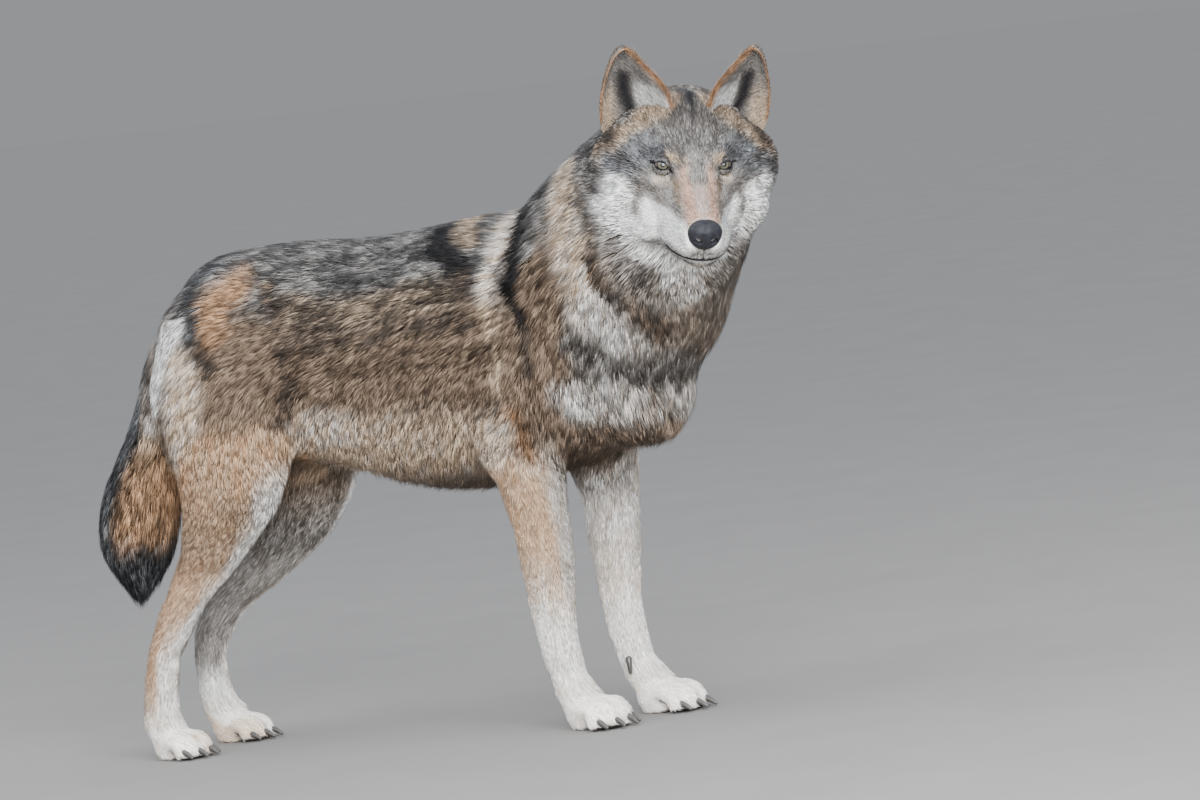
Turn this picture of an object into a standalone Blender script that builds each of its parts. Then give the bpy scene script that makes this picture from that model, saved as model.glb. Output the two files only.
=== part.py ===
"""Timber wolf: a life-size still model, standing square with its head turned to its right.

The animal stands along +X with its left side towards +Y and its soles on Z = 0. Its body is a set of
soft forms (chains of oval sections and ellipsoids) fused into one surface at the tips of the coat. That
surface is then parted with thin cuts into head, neck, trunk, legs and paws. The ears, tail, eyes, nose
and claws are pieces of their own, trimmed to what carries them.
"""

import math

import bmesh
import bpy
from mathutils import Euler, Matrix, Vector

# Driving dimensions, in metres.
ELBOW_HEIGHT = 0.400
HOCK_HEIGHT = 0.205
WRIST_HEIGHT = 0.130
FORE_TRACK = 0.068  # each forefoot's distance from the middle plane
HIND_TRACK = 0.080
EYE_SPACING = 0.088  # between the middles of the eyeballs
EYE_RADIUS = 0.0125
EYE_DEPTH = 0.008  # from the line between the eyes' fronts back to the eyeballs' middles
NOSE_PLACE = (0.119, 0, -0.050)
NOSE_RADII = (0.0165, 0.0235, 0.0225)
DEWCLAW_HEIGHT = 0.088
PAW_HEIGHT = 0.062

# The head's frame: origin midway between the eyes, +X to the nose, +Y to the animal's left, +Z to the crown.
HEAD_PLACE = Vector((0.628, -0.165, 0.824))
HEAD_TURN = Euler((math.radians(-8.0), math.radians(25.05), math.radians(-57.3)), "XYZ")

GAP = 0.0003  # between neighbouring pieces
FLOOR_MIDDLE = Vector((0.084, -0.054, 0.0))  # middle of the whole animal's footprint, the origin at hand-in

# Fusing: the large masses first, coarse and soft, and then the whole body, finer.
MASS_VOXEL = 0.009
MASS_SOFTENING = 14
BODY_VOXEL = 0.005
BODY_SOFTENING = 4
BODY_TRIANGLES = 3700

FUR = (0.40, 0.33, 0.26)
PALE_FUR = (0.62, 0.55, 0.46)
HORN = (0.06, 0.06, 0.07)
NOSE_SKIN = (0.03, 0.03, 0.035)
IRIS = (0.55, 0.50, 0.36)

parts = bpy.data.collections.new("timber_wolf")
cutters = bpy.data.collections.new("cutters")


def clear_scene():
    for obj in list(bpy.data.objects):
        bpy.data.objects.remove(obj)
    for collection in (parts, cutters):
        bpy.context.scene.collection.children.link(collection)
    cutters.hide_render = True


def material(name, colour, roughness):
    made = bpy.data.materials.new(name)
    made.use_nodes = True
    shader = made.node_tree.nodes["Principled BSDF"]
    shader.inputs["Base Color"].default_value = (*colour, 1.0)
    shader.inputs["Roughness"].default_value = roughness
    return made


def head_matrix():
    return Matrix.Translation(HEAD_PLACE) @ HEAD_TURN.to_matrix().to_4x4()


# ---------------------------------------------------------------- shapes


def between(rows, t):
    """Catmull-Rom value at t, counted in stations."""
    i = min(int(t), len(rows) - 2)
    f = t - i
    rows = [rows[max(i - 1, 0)], rows[i], rows[i + 1], rows[min(i + 2, len(rows) - 1)]]
    return [
        0.5 * (2 * b + (c - a) * f + (2 * a - 5 * b + 4 * c - d) * f**2 + (3 * b - a - 3 * c + d) * f**3)
        for a, b, c, d in zip(*rows)
    ]


def chain(stations, side=(0, 1, 0), steps=4, around=24, caps=(1.0, 1.0), dome=(65, 42, 20), frame=None):
    """A closed loft through oval sections, as a bmesh.

    A station is x, y, z, half width along side, half depth across it, and a taper that widens the
    section's upper part and narrows its lower one. The ends close with domes, caps times the end's own
    half depth long, whose rings stand at these angles in degrees.
    """
    rows = [tuple(s) + (0.0,) * (6 - len(s)) for s in stations]
    count = (len(rows) - 1) * steps
    samples = [between(rows, i / steps) for i in range(count + 1)]
    points = [Vector(s[:3]) for s in samples]
    ahead = [(points[min(i + 1, count)] - points[max(i - 1, 0)]).normalized() for i in range(count + 1)]
    sections = []
    dome = [math.radians(a) for a in dome]
    for angle in dome:
        reach = caps[0] * samples[0][4] * math.sin(angle)
        sections.append((points[0] - ahead[0] * reach, ahead[0], samples[0], math.cos(angle)))
    sections += [(points[i], ahead[i], samples[i], 1.0) for i in range(count + 1)]
    for angle in reversed(dome):
        reach = caps[1] * samples[-1][4] * math.sin(angle)
        sections.append((points[-1] + ahead[-1] * reach, ahead[-1], samples[-1], math.cos(angle)))
    mesh = bmesh.new()
    rings = []
    for centre, forward, (_, _, _, half_width, half_depth, taper), scale in sections:
        across = Vector(side) - forward * forward.dot(Vector(side))
        across.normalize()
        up = forward.cross(across)
        ring = []
        for k in range(around):
            angle = 2 * math.pi * k / around
            rise = math.sin(angle)
            width = half_width * (1 + taper * rise) * math.cos(angle)
            ring.append(mesh.verts.new(centre + scale * (across * width + up * half_depth * rise)))
        rings.append(ring)
    for lower, upper in zip(rings, rings[1:]):
        for k in range(around):
            j = (k + 1) % around
            mesh.faces.new((lower[k], lower[j], upper[j], upper[k]))
    mesh.faces.new(reversed(rings[0]))
    mesh.faces.new(rings[-1])
    bmesh.ops.recalc_face_normals(mesh, faces=mesh.faces)
    if frame:
        mesh.transform(frame)
    return mesh


def oval(centre, radii, turn=(0, 0, 0), frame=None, around=24):
    """An ellipsoid as a bmesh. turn is in degrees."""
    mesh = bmesh.new()
    bmesh.ops.create_uvsphere(mesh, u_segments=around, v_segments=around * 2 // 3, radius=1.0)
    spin = Euler([math.radians(a) for a in turn]).to_matrix().to_4x4()
    mesh.transform((frame or Matrix()) @ Matrix.Translation(centre) @ spin @ Matrix.Diagonal((*radii, 1)))
    return mesh


def to_object(name, meshes, collection=parts):
    """One object of the bmeshes given, which are freed."""
    joined = bpy.data.meshes.new(name)
    whole = bmesh.new()
    for mesh in meshes:
        mesh.to_mesh(joined)
        mesh.free()
        whole.from_mesh(joined)
    whole.to_mesh(joined)
    whole.free()
    made = bpy.data.objects.new(name, joined)
    collection.objects.link(made)
    return made


def settle(obj):
    """Applies the object's modifiers."""
    graph = bpy.context.evaluated_depsgraph_get()
    graph.update()
    finished = bpy.data.meshes.new_from_object(obj.evaluated_get(graph))
    obj.modifiers.clear()
    obj.data = finished
    return obj


def fuse(obj, voxel, softening):
    """Melts overlapping closed shapes into one soft skin."""
    remesh = obj.modifiers.new("fuse", "REMESH")
    remesh.mode = "VOXEL"
    remesh.voxel_size = voxel
    soften = obj.modifiers.new("soften", "SMOOTH")
    soften.factor = 0.5
    soften.iterations = softening
    return settle(obj)


def thin_out(obj, triangles, keep=None):
    """Collapses to about this many triangles. keep(point) is 1 where detail stays and 0 where it may go."""
    decimate = obj.modifiers.new("thin_out", "DECIMATE")
    now = sum(len(p.vertices) - 2 for p in obj.data.polygons)
    decimate.ratio = min(1.0, triangles / now)
    decimate.use_collapse_triangulate = True
    if keep:
        group = obj.vertex_groups.new(name="coarse")
        for vertex in obj.data.vertices:
            group.add([vertex.index], 1.0 - keep(vertex.co), "REPLACE")
        decimate.vertex_group = "coarse"
        decimate.vertex_group_factor = 1.0
    settle(obj)
    obj.vertex_groups.clear()
    return obj


def copy_of(obj, grown=0.0):
    """A hidden copy whose surface is moved out by grown."""
    twin = bpy.data.objects.new(obj.name + "_cutter", obj.data.copy())
    cutters.objects.link(twin)
    if grown:
        swell = twin.modifiers.new("swell", "DISPLACE")
        swell.mid_level = 0.0
        swell.strength = grown
        settle(twin)
    return twin


def cut(obj, cutter, operation="DIFFERENCE"):
    boolean = obj.modifiers.new("cut", "BOOLEAN")
    boolean.operation = operation
    boolean.object = cutter
    return settle(obj)


def box(name, low, high, frame=None):
    """A cutter between two corners in the given frame."""
    mesh = bmesh.new()
    bmesh.ops.create_cube(mesh, size=1.0)
    low, high = Vector(low), Vector(high)
    mesh.transform((frame or Matrix()) @ Matrix.Translation((low + high) / 2) @ Matrix.Diagonal((*(high - low), 1)))
    return to_object(name, [mesh], cutters)


def wedge(name, x0, x1, side, inner_height, outer_height, outer=0.3):
    """A cutter below a plane that rises from the middle plane outwards, on one side of the animal."""
    mesh = bmesh.new()
    outline = [(0, -1), (outer, -1), (outer, outer_height), (0, inner_height)]
    face = mesh.faces.new([mesh.verts.new((x0, side * y, z)) for y, z in outline])
    run = bmesh.ops.extrude_face_region(mesh, geom=[face])
    bmesh.ops.translate(mesh, vec=(x1 - x0, 0, 0), verts=[v for v in run["geom"] if isinstance(v, bmesh.types.BMVert)])
    bmesh.ops.recalc_face_normals(mesh, faces=mesh.faces)
    return to_object(name, [mesh], cutters)


def tilted(place, turn):
    """A frame at place, turned by degrees about X, Y and Z."""
    return Matrix.Translation(place) @ Euler([math.radians(a) for a in turn]).to_matrix().to_4x4()


def part_off(body, name, cutter, into_body):
    """Takes the cutter's share of the body as its own piece, and leaves a thin gap towards into_body."""
    piece = bpy.data.objects.new(name, body.data.copy())
    parts.objects.link(piece)
    cut(piece, cutter, "INTERSECT")
    cutter.data.transform(Matrix.Translation(Vector(into_body).normalized() * GAP))
    cut(body, cutter)
    return piece


# ---------------------------------------------------------------- the body's forms

TRUNK = [
    # x, y, z, half width, half depth, taper
    (-0.350, 0, 0.606, 0.064, 0.074, 0.05),
    (-0.328, 0, 0.608, 0.096, 0.108, 0.05),
    (-0.288, 0, 0.612, 0.119, 0.149, 0.05),
    (-0.220, 0, 0.614, 0.121, 0.160, 0.05),
    (-0.140, 0, 0.604, 0.120, 0.173, 0.05),
    (-0.060, 0, 0.594, 0.126, 0.178, 0.06),
    (0.030, 0, 0.578, 0.136, 0.196, 0.10),
    (0.120, 0, 0.572, 0.144, 0.204, 0.14),
    (0.210, 0, 0.580, 0.148, 0.205, 0.14),
    (0.300, 0, 0.582, 0.146, 0.196, 0.12),
    (0.380, 0, 0.570, 0.132, 0.168, 0.10),
]

NECK = [
    (0.240, 0.000, 0.640, 0.125, 0.135, 0.0),
    (0.330, -0.002, 0.640, 0.148, 0.188, 0.0),
    (0.404, -0.012, 0.670, 0.152, 0.186, 0.0),
    (0.460, -0.034, 0.722, 0.146, 0.167, 0.0),
    (0.520, -0.062, 0.772, 0.136, 0.150, 0.0),
    (0.568, -0.084, 0.810, 0.124, 0.134, 0.0),
]

TAIL = [
    (-0.352, 0.000, 0.665, 0.036, 0.036),
    (-0.384, 0.000, 0.612, 0.044, 0.046),
    (-0.404, -0.003, 0.545, 0.050, 0.050),
    (-0.430, -0.006, 0.475, 0.056, 0.055),
    (-0.466, -0.010, 0.400, 0.062, 0.066),
    (-0.484, -0.012, 0.335, 0.060, 0.066),
    (-0.488, -0.013, 0.295, 0.045, 0.051),
    (-0.491, -0.014, 0.262, 0.020, 0.023),
]

# The right legs stand a little behind the left ones.
FORELEG_RIGHT = [
    (0.262, -0.098, 0.470, 0.046, 0.070),
    (0.258, -0.097, ELBOW_HEIGHT, 0.045, 0.060),
    (0.261, -0.090, 0.345, 0.041, 0.053),
    (0.263, -0.085, 0.290, 0.036, 0.047),
    (0.260, -0.079, 0.230, 0.031, 0.042),
    (0.256, -0.074, 0.175, 0.029, 0.038),
    (0.258, -0.071, WRIST_HEIGHT, 0.030, 0.033),
    (0.264, -0.069, 0.085, 0.028, 0.031),
    (0.280, -FORE_TRACK, 0.045, 0.032, 0.032),
]
FORELEG_LEFT = [
    (0.290, 0.098, 0.470, 0.046, 0.070),
    (0.288, 0.097, ELBOW_HEIGHT, 0.045, 0.060),
    (0.293, 0.090, 0.345, 0.041, 0.052),
    (0.294, 0.085, 0.290, 0.036, 0.046),
    (0.295, 0.079, 0.230, 0.031, 0.040),
    (0.297, 0.074, 0.175, 0.028, 0.034),
    (0.304, 0.071, WRIST_HEIGHT - 0.012, 0.029, 0.032),
    (0.314, 0.069, 0.080, 0.028, 0.030),
    (0.336, FORE_TRACK, 0.045, 0.032, 0.032),
]
HINDLEG_RIGHT = [
    (-0.288, -0.066, 0.640, 0.058, 0.086),
    (-0.276, -0.076, 0.570, 0.064, 0.116),
    (-0.262, -0.086, 0.500, 0.063, 0.114),
    (-0.258, -0.091, 0.435, 0.055, 0.102),
    (-0.280, -0.090, 0.372, 0.045, 0.076),
    (-0.316, -0.088, 0.312, 0.036, 0.053),
    (-0.362, -0.085, 0.255, 0.029, 0.037),
    (-0.398, -0.083, HOCK_HEIGHT, 0.027, 0.033),
    (-0.423, -0.081, 0.160, 0.026, 0.029),
    (-0.437, -HIND_TRACK, 0.105, 0.027, 0.030),
    (-0.442, -HIND_TRACK, 0.060, 0.029, 0.032),
    (-0.432, -HIND_TRACK, 0.038, 0.030, 0.030),
]
HINDLEG_LEFT = [
    (-0.284, 0.066, 0.640, 0.058, 0.086),
    (-0.268, 0.076, 0.570, 0.064, 0.118),
    (-0.248, 0.086, 0.500, 0.063, 0.120),
    (-0.238, 0.091, 0.435, 0.055, 0.112),
    (-0.255, 0.090, 0.366, 0.045, 0.085),
    (-0.302, 0.088, 0.303, 0.036, 0.058),
    (-0.372, 0.085, 0.240, 0.029, 0.037),
    (-0.420, 0.083, HOCK_HEIGHT - 0.018, 0.027, 0.033),
    (-0.436, 0.081, 0.140, 0.026, 0.029),
    (-0.436, HIND_TRACK, 0.095, 0.027, 0.030),
    (-0.428, HIND_TRACK, 0.060, 0.029, 0.032),
    (-0.414, HIND_TRACK, 0.038, 0.030, 0.030),
]

HEAD = [
    # in the head's frame, from the nape to the nose
    (-0.135, 0, -0.004, 0.106, 0.080, -0.15),
    (-0.095, 0, -0.010, 0.118, 0.088, -0.18),
    (-0.055, 0, -0.022, 0.106, 0.086, -0.18),
    (-0.020, 0, -0.034, 0.083, 0.075, -0.14),
    (0.010, 0, -0.050, 0.061, 0.065, -0.06),
    (0.045, 0, -0.058, 0.044, 0.056, -0.06),
    (0.085, 0, -0.064, 0.037, 0.047, -0.08),
    (0.110, 0, -0.066, 0.031, 0.040, -0.08),
]

# Each paw: its place on the floor, the way it points in degrees, its size, and where its dewclaw is along X.
PAWS = {
    "fore_right": ((0.300, -FORE_TRACK, 0), -18, 1.00, 0.262),
    "fore_left": ((0.358, FORE_TRACK, 0), -4, 1.00, 0.312),
    "hind_right": ((-0.418, -HIND_TRACK, 0), -12, 0.90, None),
    "hind_left": ((-0.400, HIND_TRACK, 0), 0, 0.90, None),
}
# Toes from the animal's right to its left: knuckle, tip (forward, sideways) and thickness.
TOES = [
    ((0.000, -0.028), (0.036, -0.035), 0.0140),
    ((0.012, -0.012), (0.052, -0.0135), 0.0150),
    ((0.012, 0.012), (0.052, 0.0135), 0.0150),
    ((0.000, 0.028), (0.036, 0.035), 0.0140),
]


def paw_frame(place, heading, size):
    return Matrix.Translation(place) @ Matrix.Rotation(math.radians(heading), 4, "Z") @ Matrix.Scale(size, 4)


def paw_forms(frame):
    made = [oval((-0.014, 0, 0.026), (0.040, 0.033, 0.036), (0, 12, 0), frame)]
    made.append(oval((-0.028, 0, 0.010), (0.018, 0.024, 0.016), frame=frame))
    for (x0, y0), (x1, y1), r in TOES:
        toe = [
            (x0 - 0.010, y0 * 0.8, 0.030, r, r),
            (x0 + 0.012, y0 * 1.05, 0.032, r, r * 1.08),
            ((x0 + x1) / 2 + 0.007, (y0 + y1) / 2, 0.026, r, r * 1.08),
            (x1 - 0.004, y1, 0.0115, r * 0.95, r * 1.05),
        ]
        made.append(chain(toe, steps=3, caps=(0.6, 0.75), frame=frame))
    return made


def claw_form(frame, thicker=0.0, longer=0.0):
    """A curved claw from its root at the frame's origin, pointing along +X and down."""
    rows = []
    for i in range(4):
        t = i / 3
        girth = (0.0042 * (1 - t) ** 0.7 + 0.0009 * t) + thicker
        rows.append((0.020 * t - longer * (1 - t), 0, -0.0095 * t**1.5, girth * 0.8, girth))
    return chain(rows, steps=1, around=6, caps=(0.4, 0.6), dome=(40,), frame=frame)


def leg_forms():
    chains = (FORELEG_RIGHT, FORELEG_LEFT, HINDLEG_RIGHT, HINDLEG_LEFT)
    return [chain(stations, caps=(0.6, 0.4)) for stations in chains]


def mass_forms():
    """Trunk and neck with the muscles that swell from them."""
    forms = [
        chain(TRUNK, caps=(0.45, 0.5)),
        chain(NECK, caps=(0.3, 0.3)),
        oval((0.405, 0, 0.525), (0.085, 0.112, 0.125), (0, -18, 0)),  # breast
        oval((0.520, -0.060, 0.835), (0.086, 0.086, 0.084)),  # nape
        oval((-0.120, 0, 0.490), (0.110, 0.075, 0.058)),  # fold of the flank
    ]
    for side in (-1, 1):
        forms += [
            oval((0.285, 0.100 * side, 0.545), (0.080, 0.056, 0.125), (0, 14, 0)),  # shoulder
            oval((0.235, 0.105 * side, 0.445), (0.058, 0.044, 0.062), (0, 10, 0)),  # upper arm
            oval((-0.284, 0.072 * side, 0.636), (0.084, 0.058, 0.085)),  # hip
        ]
    return forms


def head_forms(head):
    forms = [
        chain(HEAD, caps=(0.4, 0.45), frame=head),
        oval((-0.078, 0, 0.018), (0.070, 0.074, 0.065), frame=head),  # crown
        oval((0.100, 0, -0.094), (0.026, 0.027, 0.016), frame=head),  # chin
        oval((0.045, 0, -0.095), (0.072, 0.042, 0.022), (0, -4, 0), head),  # lower jaw
        oval((-0.085, 0, -0.110), (0.068, 0.105, 0.070), frame=head),  # throat ruff
    ]
    for side in (-1, 1):
        forms += [
            oval((-0.080, 0.084 * side, -0.034), (0.048, 0.062, 0.068), (0, 0, -20 * side), head),  # cheek ruff
            oval((-0.062, 0.072 * side, -0.088), (0.055, 0.060, 0.058), (0, 0, -15 * side), head),  # jaw ruff
            oval((-0.048, 0.062 * side, -0.022), (0.050, 0.046, 0.046), (0, 0, -20 * side), head),  # cheekbone
            oval((-0.040, 0.054 * side, -0.068), (0.056, 0.046, 0.048), (0, 0, -20 * side), head),  # jaw muscle
            oval((-0.010, 0.038 * side, 0.014), (0.024, 0.028, 0.018), frame=head),  # brow
            oval((0.064, 0.029 * side, -0.084), (0.052, 0.022, 0.023), (0, 0, -12 * side), head),  # lip
        ]
    return forms


def eye_sockets(head):
    forms = [oval((0.020, 0.056 * side, -0.001), (0.026, 0.026, 0.017), frame=head) for side in (-1, 1)]
    return to_object("eye_sockets", forms, cutters)


# ---------------------------------------------------------------- ears

# Outline of the left ear in the head's frame, from its root to its tip: inner and outer edge.
EAR_INNER = [(-0.052, 0.020, 0.048), (-0.070, 0.034, 0.082), (-0.084, 0.057, 0.110), (-0.093, 0.077, 0.135)]
EAR_OUTER = [(-0.098, 0.104, -0.010), (-0.098, 0.121, 0.028), (-0.099, 0.1225, 0.082), (-0.099, 0.110, 0.124)]
EAR_TIP = (-0.100, 0.0935, 0.1425)
EAR_CUP = 0.040  # depth of the cup at the ear's root
EAR_WALL = 0.0060
EAR_TURN = Vector((-0.93, 0.30, -0.10))  # the way the ear's back faces, for the left ear


def ear(name, side, head):
    """A cupped leaf between the inner and outer edge, given a wall's thickness."""
    rows, columns = 9, 7
    back = EAR_TURN.normalized()
    mesh = bmesh.new()
    grid = []
    edges = [[Vector(p) for p in (*edge, EAR_TIP)] for edge in (EAR_INNER, EAR_OUTER)]
    for i in range(rows + 1):
        t = i / rows * (len(edges[0]) - 1) * 0.985
        inner, outer = (Vector(between(edge, t)) for edge in edges)
        depth = EAR_CUP * (1 - i / rows) ** 0.7 + 0.003
        line = []
        for j in range(columns + 1):
            u = j / columns
            hollow = math.sin(math.pi * u) ** 0.8 * depth
            line.append(mesh.verts.new(inner.lerp(outer, u) + back * hollow))
        grid.append(line)
    for low, high in zip(grid, grid[1:]):
        for j in range(columns):
            mesh.faces.new((low[j], low[j + 1], high[j + 1], high[j]))
    if side < 0:
        mesh.transform(Matrix.Scale(-1, 4, (0, 1, 0)))
        bmesh.ops.reverse_faces(mesh, faces=mesh.faces)
    mesh.transform(head)
    made = to_object(name, [mesh])
    wall = made.modifiers.new("wall", "SOLIDIFY")
    wall.thickness = EAR_WALL
    wall.offset = 0.0
    settle(made)
    return made


# ---------------------------------------------------------------- the pieces


def detail(point):
    """1 on the head and paws, where the surface stays finest."""
    local = head_matrix().inverted() @ point
    if local.x > -0.11 and local.z > -0.13 and abs(local.y) < 0.16:
        return 0.6 if local.x < -0.02 else 0.8
    if point.z < 0.060:
        return 0.6
    return 0.26 if point.x > 0.35 and point.z > 0.6 else 0.2


def body_skin(head_frame):
    """The whole furred body but the ears and tail, in one closed surface with flat soles."""
    body = to_object("masses", mass_forms() + leg_forms())
    fuse(body, MASS_VOXEL, MASS_SOFTENING)
    masses = bmesh.new()
    masses.from_mesh(body.data)
    bpy.data.objects.remove(body)
    paws = [form for place, heading, size, _ in PAWS.values() for form in paw_forms(paw_frame(place, heading, size))]
    body = to_object("trunk", [masses, *leg_forms(), *head_forms(head_frame), *paws])
    fuse(body, BODY_VOXEL, BODY_SOFTENING)
    cut(body, eye_sockets(head_frame))
    thin_out(body, BODY_TRIANGLES, detail)
    return cut(body, box("under_floor", (-2, -2, -1), (2, 2, 0)))


def make_ears(head_frame, grown_body):
    ears = [ear(f"ear_{word}", side, head_frame) for side, word in ((-1, "right"), (1, "left"))]
    for made in ears:
        cut(made, grown_body)
    return ears


def make_tail(grown_body):
    tail = fuse(to_object("tail", [chain(TAIL, caps=(0.5, 1.0))]), 0.009, 4)
    thin_out(tail, 420)
    return cut(tail, grown_body)


def make_nose(body, head_frame):
    nose = to_object("nose", [oval(NOSE_PLACE, NOSE_RADII, (0, 18, 0), head_frame, around=14)])
    cut(body, copy_of(nose, GAP))
    return nose


def make_eyes(body, head_frame):
    eyes = []
    for side, word in ((-1, "right"), (1, "left")):
        place = (-EYE_DEPTH, side * EYE_SPACING / 2, 0.0)
        eye = to_object(f"eye_{word}", [oval(place, (EYE_RADIUS,) * 3, frame=head_frame, around=12)])
        cut(body, copy_of(eye, GAP))
        eyes.append(eye)
    return eyes


def make_claws(body):
    """A claw in each toe, and a dewclaw on the inner side of each forefoot."""
    roots = {}
    for paw, (place, heading, size, dewclaw_at) in PAWS.items():
        frame = paw_frame(place, heading, size)
        for number, (_, (x, y), _) in enumerate(TOES):
            roots[f"claw_{paw}_{number + 1}"] = frame @ Matrix.Translation((x + 0.001, y, 0.0155))
        if dewclaw_at:
            inward = -math.copysign(1, place[1])
            root = Vector((dewclaw_at, place[1] + inward * 0.026, DEWCLAW_HEIGHT))
            roots[f"dewclaw_{paw}"] = tilted(root, (0, 60, inward * 60))
    claws = []
    for name, root in roots.items():
        claws.append(to_object(name, [claw_form(root)]))
        cut(body, to_object("claw_bed", [claw_form(root, GAP, GAP)], cutters))
    return claws


def build():
    clear_scene()
    coat = material("coat", FUR, 0.9)
    leg_coat = material("leg_coat", PALE_FUR, 0.9)
    horn = material("claw_horn", HORN, 0.4)
    nose_skin = material("nose_skin", NOSE_SKIN, 0.35)
    eye_gloss = material("eye", IRIS, 0.1)
    head_frame = head_matrix()

    body = body_skin(head_frame)
    grown_body = copy_of(body, GAP)
    tail = make_tail(grown_body)
    ears = make_ears(head_frame, grown_body)
    nose = make_nose(body, head_frame)
    eyes = make_eyes(body, head_frame)
    claws = make_claws(body)

    behind_jaw = head_frame @ tilted((-0.085, 0, -0.03), (0, -26, 0))
    before_withers = tilted((0.325, 0, 0.66), (0, -39, 0))
    reach = (0.6, 0.5, 0.6)
    head = part_off(body, "head", box("head_share", (0, -0.3, -0.4), reach, behind_jaw), -behind_jaw.col[0].xyz)
    neck_share = box("neck_share", (0, -0.5, -0.6), reach, before_withers)
    neck = part_off(body, "neck", neck_share, -before_withers.col[0].xyz)
    limbs = [head, neck]
    legs = []
    for side, word in ((-1, "right"), (1, "left")):
        fore = wedge(f"foreleg_{word}_share", 0.08, 0.46, side, 0.300, 0.640)
        hind = wedge(f"hindleg_{word}_share", -0.60, -0.08, side, 0.345, 0.745)
        for limb, cutter in (("fore", fore), ("hind", hind)):
            leg = part_off(body, f"{limb}leg_{word}", cutter, (0, 0, 1))
            low_part = box("paw_share", (-2, -2, -1), (2, 2, PAW_HEIGHT))
            legs += [leg, part_off(leg, f"{limb}paw_{word}", low_part, (0, 0, 1))]

    for obj in (body, tail, *limbs, *ears):
        obj.data.materials.append(coat)
    for obj in legs:
        obj.data.materials.append(leg_coat)
    for obj in claws:
        obj.data.materials.append(horn)
    nose.data.materials.append(nose_skin)
    for obj in eyes:
        obj.data.materials.append(eye_gloss)
    for obj in parts.objects:
        obj.location = -FLOOR_MIDDLE
        obj.data.shade_smooth()


build()
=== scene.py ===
"""A life-size timber wolf in winter coat, dressed around its solids.

One skin stands for the nodes of flesh. Over it lies a coat of thin solid tufts that follow the lie of
the fur. The eyes, nose, claws and whiskers are pieces of their own, in a plain pale studio.
"""

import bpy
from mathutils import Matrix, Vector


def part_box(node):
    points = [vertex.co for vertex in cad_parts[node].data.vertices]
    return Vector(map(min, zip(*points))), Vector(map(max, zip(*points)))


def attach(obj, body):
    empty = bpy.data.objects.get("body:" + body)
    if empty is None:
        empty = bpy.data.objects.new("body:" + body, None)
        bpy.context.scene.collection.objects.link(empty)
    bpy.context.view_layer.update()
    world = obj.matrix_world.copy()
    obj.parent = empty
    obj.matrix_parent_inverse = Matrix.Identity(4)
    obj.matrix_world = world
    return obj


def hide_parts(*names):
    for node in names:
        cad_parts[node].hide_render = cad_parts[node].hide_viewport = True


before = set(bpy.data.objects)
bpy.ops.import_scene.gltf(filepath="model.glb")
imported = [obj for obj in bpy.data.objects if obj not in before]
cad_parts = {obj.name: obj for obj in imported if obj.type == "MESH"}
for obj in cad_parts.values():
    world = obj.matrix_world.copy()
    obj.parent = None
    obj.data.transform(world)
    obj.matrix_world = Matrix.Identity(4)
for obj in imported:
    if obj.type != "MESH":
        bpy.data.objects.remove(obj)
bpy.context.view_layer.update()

import math

import bmesh
import bpy
import numpy as np
from bpy.props import FloatProperty, FloatVectorProperty, IntProperty, PointerProperty
from mathutils import Matrix, Vector
from mathutils.bvhtree import BVHTree
from mathutils.kdtree import KDTree

bl_info = {
    "name": "Timber wolf",
    "version": (1, 0, 0),
    "blender": (4, 5, 0),
    "location": "View3D > Sidebar > Wolf",
    "description": "Dresses the wolf's solids with a skin, a coat of tufts, eyes, nose, claws and whiskers",
    "category": "Object",
}

# ---------------------------------------------------------------- the animal's own frames and names

FLESH = [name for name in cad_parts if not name.startswith(("eye_", "nose", "claw_", "dewclaw_"))]
TRUNK, NECK, HEAD, TAIL, EAR, FORELEG, HINDLEG, PAW = range(8)
KINDS = {
    "trunk": TRUNK, "neck": NECK, "head": HEAD, "tail": TAIL, "ear": EAR,
    "foreleg": FORELEG, "hindleg": HINDLEG, "forepaw": PAW, "hindpaw": PAW,
}
MIDDLE = 0.054  # the trunk's middle plane along Y

# From the middle between the eyeballs to the middle of the nose, in the head's frame.
NOSE_AHEAD, NOSE_BELOW = 0.127, 0.050
EYE_BACK = 0.008  # from the head's origin back to the eyeballs' middles


def middle_of(node):
    lo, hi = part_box(node)
    return np.array((lo + hi) / 2)


def head_frame():
    """The head's origin, midway between the eyes, and its axes as columns: ahead, left and up."""
    left_eye, right_eye, nose = (middle_of(n) for n in ("eye_left", "eye_right", "nose"))
    left = (left_eye - right_eye) / np.linalg.norm(left_eye - right_eye)
    centre = (left_eye + right_eye) / 2
    to_nose = nose - centre
    to_nose -= left * (to_nose @ left)
    to_nose /= np.linalg.norm(to_nose)
    over = np.cross(to_nose, left)
    dip = math.atan2(NOSE_BELOW, NOSE_AHEAD)
    ahead = math.cos(dip) * to_nose + math.sin(dip) * over
    up = np.cross(ahead, left)
    return centre + EYE_BACK * ahead, np.stack([ahead, left, up], axis=1)


HEAD_PLACE, HEAD_AXES = head_frame()


def to_head(points):
    return (points - HEAD_PLACE) @ HEAD_AXES


def from_head(points):
    return HEAD_PLACE + np.asarray(points) @ HEAD_AXES.T


# ---------------------------------------------------------------- small helpers


def ramp(values, start, end):
    """0 at start, 1 at end, smooth between, whichever is larger."""
    t = np.clip((values - start) / (end - start), 0.0, 1.0)
    return t * t * (3 - 2 * t)


def unit(vectors):
    vectors = np.asarray(vectors, float)
    return vectors / np.maximum(np.linalg.norm(vectors, axis=-1, keepdims=True), 1e-12)


HASH_STEPS = (73856093, 19349663, 83492791)


def laid(ways, normals):
    """These directions laid on the surface."""
    return unit(ways - normals * (ways * normals).sum(axis=1, keepdims=True))


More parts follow.
